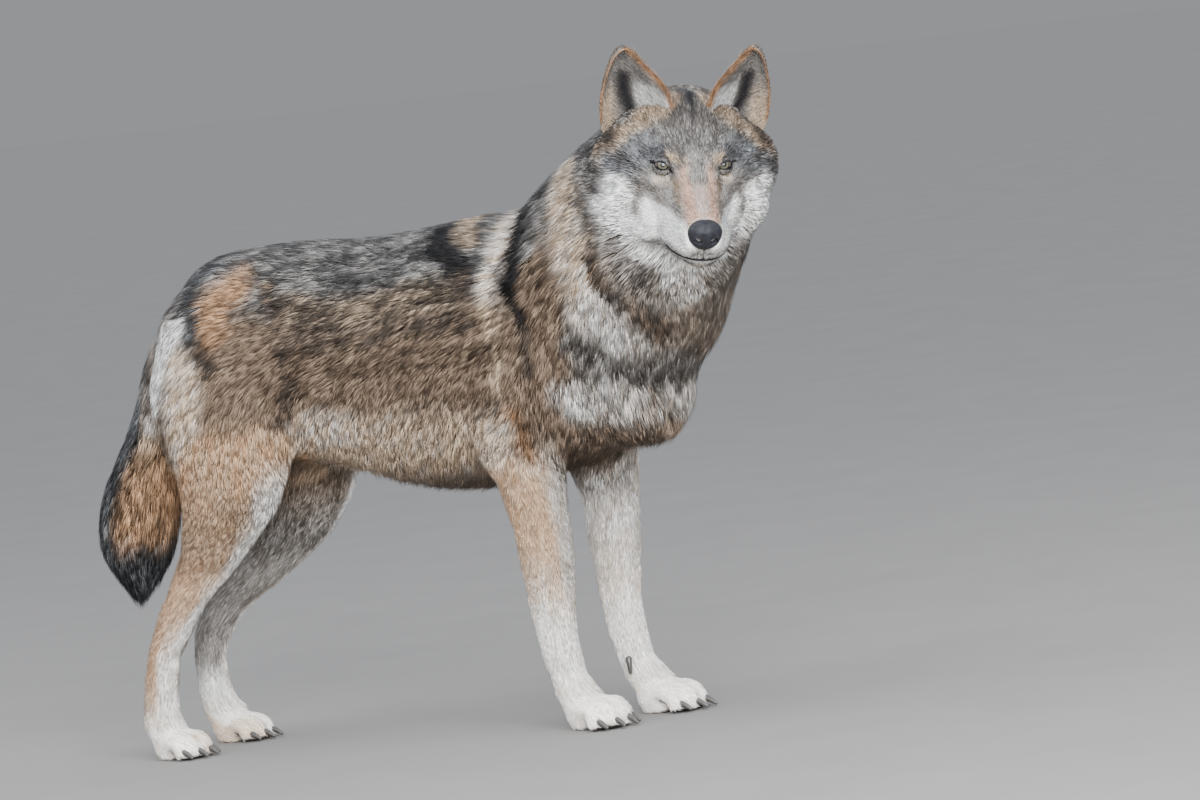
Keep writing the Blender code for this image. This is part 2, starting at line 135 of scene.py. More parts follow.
def noise(points, size, seed):
    """Smooth value noise with cells of this size, from -1 to 1."""
    q = points / size + 31.7
    cell = np.floor(q).astype(np.int64)
    f = q - cell
    f = f * f * (3 - 2 * f)
    total = np.zeros(len(points))
    for corner in np.ndindex(2, 2, 2):
        i = (cell + corner) * HASH_STEPS
        h = i[:, 0] ^ i[:, 1] ^ i[:, 2] ^ (seed + 7) * 2654435761
        h = (h ^ (h >> 13)) * 1274126177 & 0x7FFFFFFF
        h = h ^ (h >> 16)
        weight = np.prod([f[:, k] if corner[k] else 1 - f[:, k] for k in range(3)], axis=0)
        total += weight * ((h & 0xFFFF) / 32767.5 - 1)
    return total


WHORL = (0.150, 0.0, -0.040)  # the hair of the head runs back from here, before the nose, in the head's frame


def noise_along(points, kind, size, stretch, seed):
    """Noise drawn out along the general lie of the hair on each part of the body."""
    ways = {
        TRUNK: (-1.0, 0.0, -0.30), NECK: (-0.70, 0.10, -0.70), TAIL: (-0.35, 0.0, -1.0), EAR: HEAD_AXES[:, 2],
        FORELEG: (-0.12, 0.0, -1.0), HINDLEG: (-0.30, 0.0, -1.0), PAW: (1.0, 0.0, -0.3),
    }
    drawn = points.copy()
    for k, way in ways.items():
        way, own = unit(way), kind == k
        drawn[own] -= (1 - stretch) * (points[own] @ way)[:, None] * way
    away = to_head(points) - WHORL
    reach = np.linalg.norm(away, axis=1, keepdims=True)
    drawn = np.where((kind == HEAD)[:, None], away / reach * (0.11 + stretch * reach), drawn)
    return noise(drawn, size, seed)


def points_of(mesh):
    co = np.empty(len(mesh.vertices) * 3, np.float32)
    mesh.vertices.foreach_get("co", co)
    return co.reshape(-1, 3).astype(float)


def edges_of(mesh):
    ends = np.empty(len(mesh.edges) * 2, np.int32)
    mesh.edges.foreach_get("vertices", ends)
    return ends.reshape(-1, 2)


def triangles_of(mesh):
    mesh.calc_loop_triangles()
    corners = np.empty(len(mesh.loop_triangles) * 3, np.int32)
    mesh.loop_triangles.foreach_get("vertices", corners)
    return corners.reshape(-1, 3)


def normals_of(points, triangles):
    """Vertex normals, weighted by area."""
    a, b, c = (points[triangles[:, k]] for k in range(3))
    face = np.cross(b - a, c - a)
    total = np.stack(
        [sum(np.bincount(triangles[:, k], face[:, axis], len(points)) for k in range(3)) for axis in range(3)], axis=1
    )
    return unit(total)


def spread(values, edges, weight, rounds):
    """Relaxes values over the mesh: each takes on its neighbours' mean by its weight."""
    count = len(values)
    a, b = edges.T
    degree = np.maximum(np.bincount(edges.ravel(), minlength=count), 1)[:, None]
    weight = np.broadcast_to(weight, count)[:, None]
    flat = values.ndim == 1
    values = values[:, None] if flat else values
    for _ in range(rounds):
        around = np.stack(
            [np.bincount(a, v[b], count) + np.bincount(b, v[a], count) for v in values.T], axis=1
        )
        values = values + weight * (around / degree - values)
    return values[:, 0] if flat else values


def link(obj):
    bpy.context.scene.collection.objects.link(obj)
    return obj


def smooth_piece(mesh, name):
    """A smooth object made of this bmesh, which is then freed."""
    made = bpy.data.meshes.new(name)
    mesh.to_mesh(made)
    mesh.free()
    made.polygons.foreach_set("use_smooth", np.ones(len(made.polygons), bool))
    return link(bpy.data.objects.new(name, made))


def settle(obj):
    """Applies the object's modifiers."""
    graph = bpy.context.evaluated_depsgraph_get()
    graph.update()
    finished = bpy.data.meshes.new_from_object(obj.evaluated_get(graph))
    obj.modifiers.clear()
    obj.data = finished
    return obj


def mesh_from(name, points, faces, smooth=True):
    """A mesh of these points and of faces that all have the same number of corners."""
    mesh = bpy.data.meshes.new(name)
    mesh.vertices.add(len(points))
    mesh.vertices.foreach_set("co", np.asarray(points, np.float32).ravel())
    corners = faces.shape[1]
    mesh.loops.add(faces.size)
    mesh.loops.foreach_set("vertex_index", faces.ravel().astype(np.int32))
    mesh.polygons.add(len(faces))
    mesh.polygons.foreach_set("loop_start", np.arange(0, faces.size, corners, dtype=np.int32))
    mesh.polygons.foreach_set("loop_total", np.full(len(faces), corners, np.int32))
    mesh.polygons.foreach_set("use_smooth", np.full(len(faces), smooth))
    mesh.update(calc_edges=True)
    return mesh


# ---------------------------------------------------------------- the skin

WELD = 1e-5  # points of a solid nearer than this are one
VOXEL = 0.0028  # the size of the grid that joins the solids
GAP_CLOSING = 0.0004  # how far the solids grow before they are joined, to close the cuts between them
LEAST_DEPTH = 0.0012  # of the coat over the body's skin
EAR_DEPTH = 0.0010  # of the coat over the ears' skin
FLOOR_GAP = 0.0004  # the least height of the skin over the floor
FINE_EDGE = 0.0011  # the usual length of an edge about the eyes, nose and mouth
FACE_BACK = -0.02  # where the short hair of the face ends, along the head
WAIST = 0.02  # where the coats of the fore and the rear part meet, along the trunk
THIGH_FOOT = 0.30  # where the thigh's coat ends, as a height


def joined_flesh():
    """All the nodes of flesh but the ears in one object, with the eyes and nose as fillers."""
    whole = bmesh.new()
    for name in [n for n in FLESH if not n.startswith("ear_")] + ["eye_left", "eye_right", "nose"]:
        piece = bmesh.new()
        piece.from_mesh(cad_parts[name].data)
        bmesh.ops.remove_doubles(piece, verts=piece.verts, dist=WELD)
        bmesh.ops.recalc_face_normals(piece, faces=piece.faces)
        piece.normal_update()
        for vertex in piece.verts:
            vertex.co += vertex.normal * GAP_CLOSING
        piece_mesh = bpy.data.meshes.new("flesh_part")
        piece.to_mesh(piece_mesh)
        piece.free()
        whole.from_mesh(piece_mesh)
        bpy.data.meshes.remove(piece_mesh)
    return smooth_piece(whole, "flesh")


def remeshed(obj):
    modifier = obj.modifiers.new("voxels", "REMESH")
    modifier.mode = "VOXEL"
    modifier.voxel_size = VOXEL
    return settle(obj)


def node_finder():
    """A function from points to the index in FLESH of the nearest node, ears aside."""
    corners, faces, owner = [], [], []
    for index, name in enumerate(FLESH):
        if name.startswith("ear_"):
            continue
        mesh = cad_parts[name].data
        start = len(corners)
        corners.extend(v.co.copy() for v in mesh.vertices)
        for polygon in mesh.polygons:
            faces.append([start + i for i in polygon.vertices])
            owner.append(index)
    tree = BVHTree.FromPolygons(corners, faces)
    owner = np.array(owner)
    return lambda points: owner[[tree.find_nearest(p)[2] for p in points.tolist()]]


KIND_OF_NODE = np.array([KINDS[name.split("_")[0]] for name in FLESH])
find_node = node_finder()


def find_part(points):
    return KIND_OF_NODE[find_node(points)]


def depth_of_coat(points, normals, kind):
    """How deep the coat is at points of its outer surface, from the tips of the hair down to the skin."""
    x, _, z = points.T
    ahead, aside, above = to_head(points).T
    aside = abs(aside)
    trunk = 0.022 + 0.008 * ramp(z, 0.56, 0.44) + 0.012 * ramp(x, 0.20, 0.34) + 0.004 * ramp(x, -0.34, -0.44)
    trunk -= 0.010 * ramp(z, 0.50, 0.44) * ramp(x, 0.10, 0.16) * ramp(x, 0.32, 0.27)
    cheek = ramp(aside, 0.050, 0.095) * ramp(ahead, 0.020, -0.045) * ramp(above, 0.045, -0.030)
    throat = ramp(above, -0.100, -0.135) * ramp(ahead, 0.105, 0.050)
    face = 0.0016 + 0.0065 * ramp(ahead, 0.030, -0.050) + 0.0045 * ramp(ahead, -0.050, -0.110)
    eye = np.exp(-(np.linalg.norm(np.stack([ahead, aside - 0.044, above], axis=1), axis=1) / 0.026) ** 2)
    face = face - (face - 0.0016) * np.clip(1.3 * eye, 0, 1)
    depths = {
        TRUNK: trunk,
        NECK: 0.034 - 0.016 * ramp(ahead, -0.08, 0.02),
        HEAD: face + 0.013 * cheek + 0.015 * throat,
        EAR: 0.008,
        TAIL: 0.030 - 0.014 * ramp(z, 0.34, 0.26),
        FORELEG: 0.0035 + 0.005 * ramp(z, 0.26, 0.38) + 0.008 * ramp(z, 0.38, 0.46),
        HINDLEG: 0.0040 + 0.008 * ramp(z, 0.24, 0.40) + 0.010 * ramp(z, 0.40, 0.54),
        PAW: 0.0020,
    }
    depth = np.select([kind == k for k in depths], list(depths.values()))
    return np.where((normals[:, 2] < -0.6) & (z < 0.012), 0.0, depth)


# The line between the lips, in the head's frame, from its middle to the left corner.
MOUTH = [
    (0.1255, 0.000, -0.0890), (0.1190, 0.017, -0.0900), (0.1055, 0.031, -0.0915), (0.0910, 0.0405, -0.0910),
    (0.0740, 0.0470, -0.0900), (0.0520, 0.0515, -0.0905), (0.0340, 0.0525, -0.0915), (0.0250, 0.0525, -0.0880),
]


class Wolf:
    """What the operators share: the coat's outer surface, the skin, its colours and the fields on it."""

    outer = None  # a tree of the coat's outer surface
    mouth = MOUTH  # the line between the lips, once it lies on the skin
    skin = None
    colours = {}  # of the coat's hair, by name
    fields = {}  # by name, one row for each point of the skin


def make_outer():
    """The coat's outer surface: the solids joined over their cuts, with the facets relaxed away."""
    flesh = remeshed(joined_flesh())
    points, edges, triangles = points_of(flesh.data), edges_of(flesh.data), triangles_of(flesh.data)
    kind = find_part(points)
    stiffness = np.select(
        [(kind == HEAD) | (kind == EAR), kind == PAW, (kind == FORELEG) | (kind == HINDLEG)], [0.16, 0.04, 0.30], 0.60
    )
    stiffness = spread(stiffness, edges, 0.5, 6)
    ahead = to_head(points)[:, 0]
    stiffness = np.where(kind == HEAD, stiffness * (1 + 1.5 * ramp(ahead, -0.02, -0.10)), stiffness)
    points = spread(points, edges, stiffness, 44)
    limb = ((kind == FORELEG) | (kind == HINDLEG)).astype(float)
    crease = spread(limb, edges, 0.7, 40)
    crease = np.clip(4 * crease * (1 - crease), 0, 1) * ramp(points[:, 2], 0.30, 0.42)
    points = spread(points, edges, 0.9 * crease, 40)
    return flesh, points, edges, triangles, kind


def make_inner(flesh, points, edges, triangles, kind):
    """Moves the outer surface in by the coat's depth, and melts it again where it folds over itself."""
    normals = normals_of(points, triangles)
    depth = depth_of_coat(points, normals, kind)
    loose = np.where(kind == HEAD, 0.5 - 0.42 * ramp(to_head(points)[:, 0], -0.06, 0.0), 0.5)
    loose = np.where(kind == PAW, 0.05, loose)
    depth = spread(depth, edges, loose, 50)
    steps = 5
    for _ in range(steps):
        normals = spread(normals_of(points, triangles), edges, 0.5, 3)
        points = points - unit(normals) * depth[:, None] / steps
        points = spread(points, edges, 0.5 * ramp(depth, 0.004, 0.012), 4)
    flesh.data.vertices.foreach_set("co", points.astype(np.float32).ravel())
    return remeshed(flesh)


def thin_out(obj, triangles):
    """Collapses the body's faces more than those of the head and paws."""
    points = points_of(obj.data)
    kind = find_part(points)
    coarse = np.select([(kind == HEAD) | (kind == EAR), kind == PAW], [0.30, 0.40], 0.55)
    coarse = np.where((kind == HEAD) & (to_head(points)[:, 0] > FACE_BACK), 0.0, coarse)
    group = obj.vertex_groups.new(name="coarse")
    for level in np.unique(coarse):
        group.add(np.flatnonzero(coarse == level).tolist(), float(level), "REPLACE")
    modifier = obj.modifiers.new("collapse", "DECIMATE")
    modifier.ratio = triangles / (2 * len(obj.data.polygons))
    modifier.use_collapse_triangulate = True
    modifier.vertex_group = "coarse"
    modifier.vertex_group_factor = 1.0
    settle(obj)
    obj.vertex_groups.clear()
    return obj


TOO_LONG = 1.35  # an edge is split when it is this many times as long as it should be


def refine(mesh, near, size):
    """Splits the edges that are longer than this where near(points) is true."""
    fine = bmesh.new()
    fine.from_mesh(mesh)
    for _ in range(3):
        fine.verts.ensure_lookup_table()
        fine.verts.index_update()
        close = near(np.array([v.co for v in fine.verts]))
        long_edges = [
            e for e in fine.edges if all(close[v.index] for v in e.verts) and e.calc_length() > TOO_LONG * size
        ]
        if not long_edges:
            break
        bmesh.ops.subdivide_edges(fine, edges=long_edges, cuts=1)
        bmesh.ops.triangulate(fine, faces=[f for f in fine.faces if len(f.verts) > 3])
    fine.to_mesh(mesh)
    fine.free()


# ---------------------------------------------------------------- the face

EYE_ASIDE = 0.044
EYE_RADIUS = 0.0125
EYE_FACING = (0.82, 0.42, 0.30)  # the way the left eye's lids face, in the head's frame
EYE_SLANT = math.radians(13)
EYE_LENGTH, EYE_HEIGHT = 0.0130, 0.0053  # half of the opening between the lids
LID = 0.0016  # how far the lids stand over the eyeball

NOSE_CENTRE = (0.119, 0.0, -0.050)
NOSE_RADII = (0.0168, 0.0238, 0.0228)


def eye_axes(side):
    """The eyeball's middle and its lids' axes: outwards along the opening, up across it, and ahead."""
    facing = unit([EYE_FACING[0], side * EYE_FACING[1], EYE_FACING[2]])
    out = np.array([0.0, side, 0.0])
    out = unit(out - facing * (facing @ out))
    up = side * np.cross(facing, out)
    turned = math.cos(EYE_SLANT) * out + math.sin(EYE_SLANT) * up
    up = math.cos(EYE_SLANT) * up - math.sin(EYE_SLANT) * out
    return np.array([-EYE_BACK, side * EYE_ASIDE, 0.0]), np.stack([turned, up, facing], axis=1)


def opening(u, v):
    """Below 1 between the lids, 1 on their edges. The inner corner reaches a little lower."""
    t = np.clip(u / EYE_LENGTH, -1.6, 1.6)
    lift = -0.0012 * ramp(-t, 0.3, 1.1)
    height = EYE_HEIGHT * np.maximum(1 - np.abs(t) ** 2.2, 0.0) ** 0.75 + 1e-5
    height = np.where(v - lift < 0, height * 0.88, height)
    return np.where(np.abs(t) < 1, np.abs(v - lift) / height, 9.0), lift


def near_path(points, path, mirrored=True):
    """Distance to a path in the head's frame, and how far along it the nearest place is, from 0 to 1."""
    p = points.copy()
    if mirrored:
        p[:, 1] = abs(p[:, 1])
    path = np.array(path, float)
    best, where = np.full(len(p), 9.0), np.zeros(len(p))
    for i, (a, b) in enumerate(zip(path, path[1:])):
        along = np.clip((p - a) @ (b - a) / ((b - a) @ (b - a)), 0, 1)
        distance = np.linalg.norm(p - a - along[:, None] * (b - a), axis=1)
        where = np.where(distance < best, (i + along) / (len(path) - 1), where)
        best = np.minimum(best, distance)
    return best, where


def shape_eyes(local):
    """Lids drawn over the eyeballs, with an almond opening between them."""
    for side in (-1, 1):
        centre, axes = eye_axes(side)
        q = (local - centre) @ axes
        u, v, w = q.T
        reach = np.hypot(u, v)
        near = (reach < 0.022) & (w > -0.004) & (np.linalg.norm(q, axis=1) < 0.034)
        gap, lift = opening(u, v)
        snap = near & (gap > 0.72) & (gap < 1.32)
        v = np.where(snap, lift + (v - lift) / gap, v)
        reach = np.hypot(u, v)
        inside = near & (gap <= 0.72)
        rim = 0.0006 * np.exp(-((np.clip(gap, 1, 9) - 1) / 0.35) ** 2)
        crease = -0.0011 * np.exp(-((gap - 2.1) / 0.35) ** 2) * (v > 0)
        over = np.sqrt(np.maximum((EYE_RADIUS + LID) ** 2 - reach**2, 0)) + rim + crease
        under = np.sqrt(np.maximum((EYE_RADIUS - 0.003) ** 2 - reach**2, 0))
        blend = ramp(reach, 0.0195, 0.0115)
        w = np.where(near, w + blend * (over - w), w)
        w = np.where(inside, under, w)
        local = np.where(near[:, None], centre + np.stack([u, v, w], axis=1) @ axes.T, local)
    return local


def shape_mouth(local, normals):
    """The groove between the lips, the edge of the upper lip over it and the lower lip under it."""
    distance, where = near_path(local, Wolf.mouth)
    fade = ramp(where, 1.0, 0.93)
    last = len(Wolf.mouth) - 1
    above = local[:, 2] - np.interp(where * last, range(last + 1), Wolf.mouth[:, 2])
    groove = -0.0030 * np.exp(-((distance / 0.0016) ** 2))
    upper = 0.0012 * np.exp(-(((distance - 0.0042) / 0.0026) ** 2)) * (above > 0)
    lower = 0.0006 * np.exp(-(((distance - 0.0040) / 0.0022) ** 2)) * (above <= 0)
    return local + normals * ((groove + upper + lower) * (0.35 + 0.65 * fade))[:, None]


def shape_nose_bed(local):
    """Draws the skin in under the nose pad, so that it ends in a soft edge around it."""
    q = (local - NOSE_CENTRE) / NOSE_RADII
    size = np.linalg.norm(q, axis=1)
    front = ramp(local[:, 0], 0.110, 0.118)
    inside = (size < 1.25) & (front > 0)
    scale = np.where(inside, 1 - 0.16 * front * ramp(size, 1.25, 1.05), 1.0)
    return NOSE_CENTRE + (local - NOSE_CENTRE) * scale[:, None]


def near_face_details(points):
    local = to_head(points)
    near = near_path(local, Wolf.mouth)[0] < 0.007
    for side in (-1, 1):
        near |= np.linalg.norm(local - eye_axes(side)[0], axis=1) < 0.026
    return near | (np.linalg.norm(local - NOSE_CENTRE, axis=1) < 0.034)


# ---------------------------------------------------------------- the ears

# Outline of the left ear in the head's frame, from inside the head to its tip: inner and outer edge.
EAR_INNER = [
    (-0.040, 0.016, 0.030), (-0.056, 0.026, 0.070), (-0.068, 0.034, 0.092), (-0.080, 0.051, 0.110),
    (-0.090, 0.068, 0.124), (-0.0955, 0.079, 0.1355), (-0.0985, 0.087, 0.1410),
]
EAR_OUTER = [
    (-0.098, 0.090, -0.040), (-0.098, 0.112, -0.008), (-0.098, 0.1235, 0.030), (-0.098, 0.125, 0.066),
    (-0.099, 0.1205, 0.0950), (-0.100, 0.1125, 0.1235), (-0.100, 0.1035, 0.1380),
]
EAR_TIP = (-0.100, 0.0945, 0.1425)
EAR_CUP = 0.040  # how deep the ear is cupped at its base
EAR_GRID = (52, 34)  # faces up the ear and across it
EAR_BACK = (-0.93, 0.30, -0.10)  # the way the left ear's back faces


def between(rows, t):
    """Catmull-Rom values of these rows, with t counted in rows."""
    rows = np.asarray(rows, float)
    i = np.minimum(t.astype(int), len(rows) - 2)
    f = (t - i)[:, None]
    a, b, c, d = (rows[np.clip(i + k, 0, len(rows) - 1)] for k in (-1, 0, 1, 2))
    return 0.5 * (2 * b + (c - a) * f + (2 * a - 5 * b + 4 * c - d) * f**2 + (3 * b - a - 3 * c + d) * f**3)


def ear_shell(side):
    """A cupped leaf with a rounded rim, closed all round, as points and triangles."""
    rows, columns = EAR_GRID
    last = len(EAR_INNER)
    t = np.linspace(0, 0.992 * last, rows + 1)
    inner, outer = between([*EAR_INNER, EAR_TIP], t), between([*EAR_OUTER, EAR_TIP], t)
    along = np.clip((t - 1) / (last - 1), 0, 1)
    cup = EAR_CUP * (1 - along) ** 0.7 + 0.003
    u = (1 - np.cos(np.linspace(0, math.pi, columns + 1))) / 2
    hollow = np.sin(math.pi * u) ** 0.8
    middle = inner[:, None] * (1 - u[None, :, None]) + outer[:, None] * u[None, :, None]
    middle = middle + unit(EAR_BACK) * (cup[:, None] * hollow[None])[..., None]
    across, up = np.gradient(middle, axis=1), np.gradient(middle, axis=0)
    normal = unit(np.cross(across, up))
    if np.mean(normal @ np.array(EAR_BACK)) < 0:
        normal = -normal
    rim = np.minimum(1, np.sin(math.pi * u)[None] * 3.0) ** 0.5
    rim = rim * np.minimum(1, (last + 0.02 - t)[:, None] * 2) ** 0.5
    half = 0.0002 + 0.0024 * rim
    back, front = middle + normal * half[..., None], middle - normal * half[..., None]
    points = np.concatenate([back.reshape(-1, 3), front.reshape(-1, 3)])
    count = (rows + 1) * (columns + 1)

    def quad(a, b, c, d):
        return np.stack([a, b, c, d], axis=-1).reshape(-1, 4)

    grid = np.arange(count).reshape(rows + 1, columns + 1)
    a, b, c, d = grid[:-1, :-1], grid[:-1, 1:], grid[1:, 1:], grid[1:, :-1]
    border = np.concatenate([grid[0, :-1], grid[:-1, -1], grid[-1, :0:-1], grid[:0:-1, 0]])
    following = np.roll(border, -1)
    faces = np.concatenate(
        [quad(a, b, c, d), quad(a, d, c, b) + count, quad(following, border, border + count, following + count)]
    )
    if side < 0:
        points = points * (1, -1, 1)
    mesh = bmesh.new()
    verts = [mesh.verts.new(p) for p in points]
    for face in faces:
        mesh.faces.new([verts[i] for i in face])
    bmesh.ops.remove_doubles(mesh, verts=mesh.verts, dist=2e-6)
    bmesh.ops.triangulate(mesh, faces=mesh.faces)
    bmesh.ops.recalc_face_normals(mesh, faces=mesh.faces)
    mesh.verts.index_update()
    points = np.array([v.co for v in mesh.verts])
    faces = np.array([[v.index for v in f.verts] for f in mesh.faces])
    mesh.free()
    a, b, c = (points[faces[:, k]] for k in range(3))
    if np.einsum("ij,ij->i", a, np.cross(b, c)).sum() < 0:
        faces = faces[:, ::-1]
    return from_head(points), faces


# ---------------------------------------------------------------- the lie of the coat

# The tail's middle from its root to its tip, in the animal's frame.
TAIL_LINE = [
    (-0.436, 0.054, 0.665), (-0.468, 0.054, 0.612), (-0.488, 0.051, 0.545), (-0.514, 0.048, 0.475),
    (-0.550, 0.044, 0.400), (-0.568, 0.042, 0.335), (-0.574, 0.040, 0.280), (-0.578, 0.040, 0.235),
]


LEG_STEP = 0.02  # how far below and above a place its leg's direction is taken


def middles(points, heights, count):
    """The middle of these points in each of a number of layers, as the layers' heights and places."""
    levels = np.linspace(heights.min(), heights.max(), count + 1)
    index = np.clip(np.digitize(heights, levels) - 1, 0, count - 1)
    size = np.bincount(index, minlength=count)
    kept = size > 0
    centre = np.stack([np.bincount(index, points[:, k], count)[kept] / size[kept] for k in range(3)], axis=1)
    return (levels[:-1] + levels[1:])[kept] / 2, centre


def in_ear(normals, local):
    """Above 0 on the hollow side of an ear, below 0 on its back."""
    aside = 0.30 * np.sign(local[:, 1]) * (normals @ HEAD_AXES[:, 1])
    return normals @ (HEAD_AXES @ np.array([0.93, 0.0, 0.10])) - aside


def lie_of_coat(points, normals, kind, node):
    """The way the hair points, before it is laid on the surface and evened out."""
    x, _, z = points.T
    local = to_head(points)
    side = np.sign(local[:, 1])
    one, none = np.ones(len(points)), np.zeros(len(points))
    chest = ramp(x, 0.12, 0.34) * ramp(z, 0.80, 0.62)
    rump = ramp(x, -0.26, -0.46)
    low, lower = ramp(z, 0.78, 0.62), ramp(z, 0.62, 0.48)
    fall = -0.10 - 0.45 * low - 1.10 * lower - 0.9 * chest - 0.9 * rump
    trunk = np.stack([-one + 0.75 * chest + 0.45 * rump + 0.30 * lower, none, fall], axis=1)

    front = ramp(normals @ unit([0.75, -0.35, -0.55]), 0.0, 0.8)[:, None]
    neck = (1 - front) * unit([-0.80, 0.22, -0.42]) + front * unit([-0.10, 0.05, -1.0])
    neck = neck - np.array([0, 0, 0.35]) * ramp(z, 0.80, 0.66)[:, None]

    away = unit(local - WHORL)
    cheek = ramp(abs(local[:, 1]), 0.04, 0.09) * ramp(local[:, 0], 0.02, -0.03)
    away = away + np.stack([none, 0.25 * side * cheek, -0.45 * cheek], axis=1)
    muzzle = ramp(local[:, 0], 0.03, 0.09)
    away = away - np.stack([0.5 * muzzle, none, 0.25 * muzzle * (abs(local[:, 1]) > 0.012)], axis=1)
    head = away @ HEAD_AXES.T
    facing = (in_ear(normals, local) > 0)[:, None]
    ear = np.stack([-0.12 * one, 0.22 * side, one], axis=1)
    ear = (ear + facing * np.stack([0.1 * one, 0.9 * side, -0.3 * one], axis=1)) @ HEAD_AXES.T

    tail_line = np.array(TAIL_LINE)[::-1]
    ends = [np.interp(z + step, tail_line[:, 2], tail_line[:, k]) for k in (0, 1) for step in (-0.03, 0.03)]
    tail = np.stack([ends[0] - ends[1], ends[2] - ends[3], -0.06 * one], axis=1)

    leg = np.stack([none, none, -one], axis=1)
    for name in ("foreleg_left", "foreleg_right", "hindleg_left", "hindleg_right"):
        own = np.flatnonzero(node == FLESH.index(name))
        levels, centre = middles(points[own], z[own], 18)
        for k in (0, 1):
            under, over = (np.interp(z[own] + step, levels, centre[:, k]) for step in (-LEG_STEP, LEG_STEP))
            leg[own, k] = (under - over) / (2 * LEG_STEP)
    leg[:, 0] -= 0.20 * ramp(z, 0.20, 0.42)
    paw = np.stack([0.8 * one, none, -0.55 * one], axis=1)
    ways = {TRUNK: trunk, NECK: neck, HEAD: head, EAR: ear, TAIL: tail, FORELEG: leg, HINDLEG: leg, PAW: paw}
    lie = np.zeros_like(points)
    for k, way in ways.items():
        lie[kind == k] = unit(way)[kind == k]
    return lie


# ---------------------------------------------------------------- markings, with some painted shade

# Each zone: name, the points of its path, its radius, the softness of its border, the colour of its pale
# hair, the colour of its dark hair and the share of dark hair. Zones later in a list lie over earlier ones.
# On the body a path is seen from the side: along X and up Z.
BODY_ZONES = [
    ("flank", [(0.12, 0.600), (-0.22, 0.600)], 0.080, 0.05, "fawn", "brown", 0.58),
    ("lower flank", [(0.12, 0.525), (-0.19, 0.530)], 0.030, 0.045, "fawn", "brown", 0.22),
    ("shoulder", [(0.25, 0.68), (0.235, 0.52)], 0.060, 0.04, "fawn", "brown", 0.44),
    ("lower shoulder", [(0.235, 0.600), (0.225, 0.500)], 0.045, 0.04, "fawn", "brown", 0.30),
    ("belly", [(0.13, 0.44), (-0.06, 0.445), (-0.24, 0.46)], 0.046, 0.045, "cream", "silver", 0.12),
    ("groin", [(-0.120, 0.470), (-0.195, 0.485)], 0.020, 0.034, "cream", "white", 0.22),
    ("saddle", [(0.08, 0.735), (-0.08, 0.720), (-0.34, 0.740)], 0.078, 0.050, "silver", "black", 0.83),
    ("lower saddle", [(0.09, 0.675), (-0.10, 0.660), (-0.20, 0.665)], 0.026, 0.030, "cream", "black", 0.82),
    ("edge of the saddle", [(0.09, 0.640), (-0.06, 0.625), (-0.20, 0.630)], 0.016, 0.030, "fawn", "umber", 0.76),
    ("ridge", [(0.06, 0.785), (-0.10, 0.765), (-0.40, 0.760)], 0.016, 0.016, "silver", "black", 0.88),
    ("thigh", [(-0.285, 0.620), (-0.290, 0.520)], 0.065, 0.04, "fawn", "brown", 0.14),
    ("back of the thigh", [(-0.385, 0.600), (-0.385, 0.480)], 0.036, 0.035, "cream", "white", 0.22),
    ("lower thigh", [(-0.270, 0.440), (-0.350, 0.440), (-0.400, 0.390)], 0.055, 0.05, "tan", "cream", 0.40),
    ("front of the thigh", [(-0.220, 0.490), (-0.240, 0.400)], 0.014, 0.018, "cream", "silver", 0.30),
    ("hip", [(-0.288, 0.720), (-0.332, 0.702), (-0.330, 0.655)], 0.026, 0.030, "tan", "brown", 0.24),
    # Painted shade: a dark fawn and black line along the crease where the flank meets the thigh, and its lower end.
    ("painted shade in the crease before the thigh", [(-0.235, 0.705), (-0.222, 0.657), (-0.213, 0.598), (-0.222, 0.540)], 0.0110, 0.016,
     "fawn", "black", 0.84),
    ("lower end of the painted crease shade", [(-0.210, 0.555), (-0.240, 0.500)], 0.012, 0.016, "fawn", "umber", 0.70),
    ("stripe behind the hip", [(-0.352, 0.755), (-0.374, 0.728), (-0.372, 0.690), (-0.363, 0.637)], 0.0115, 0.012,
     "slate", "black", 0.98),
    ("blotch below the hip", [(-0.350, 0.625), (-0.332, 0.595)], 0.0140, 0.018, "fawn", "black", 0.84),
    ("rump", [(-0.400, 0.668), (-0.408, 0.645), (-0.435, 0.594), (-0.458, 0.540)], 0.0190, 0.014,
     "white", "silver", 0.12),
    ("breast", [(0.37, 0.640), (0.36, 0.540)], 0.075, 0.040, "silver", "brown", 0.46),
    ("dark breast band", [(0.288, 0.572), (0.346, 0.540), (0.410, 0.514)], 0.019, 0.026, "silver", "umber", 0.72),
    ("white breast", [(0.274, 0.492), (0.330, 0.478), (0.390, 0.470)], 0.028, 0.030, "white", "fawn", 0.50),
    ("withers", [(0.085, 0.785), (0.120, 0.755)], 0.019, 0.014, "cream", "umber", 0.48),
    ("patch behind the withers", [(0.055, 0.757), (0.088, 0.732), (0.118, 0.700)], 0.0170, 0.014,
     "umber", "black", 0.98),
    ("patch's lower end", [(0.115, 0.700), (0.125, 0.630)], 0.014, 0.020, "fawn", "black", 0.82),
    ("pale band", [(0.172, 0.800), (0.170, 0.746), (0.163, 0.700), (0.160, 0.655)], 0.0135, 0.010,
     "cream", "white", 0.40),
    ("pale band's lower end", [(0.162, 0.655), (0.168, 0.600), (0.162, 0.520)], 0.011, 0.016, "cream", "brown", 0.40),
    ("shoulder blade", [(0.215, 0.790), (0.228, 0.740)], 0.026, 0.020, "silver", "black", 0.74),
    ("shoulder stripe", [(0.205, 0.775), (0.198, 0.733), (0.197, 0.680), (0.204, 0.645), (0.210, 0.610)], 0.0095, 0.008,
     "black", "black", 1.00),
    ("shoulder stripe's lower end", [(0.212, 0.605), (0.218, 0.540)], 0.009, 0.014, "fawn", "umber", 0.86),
]
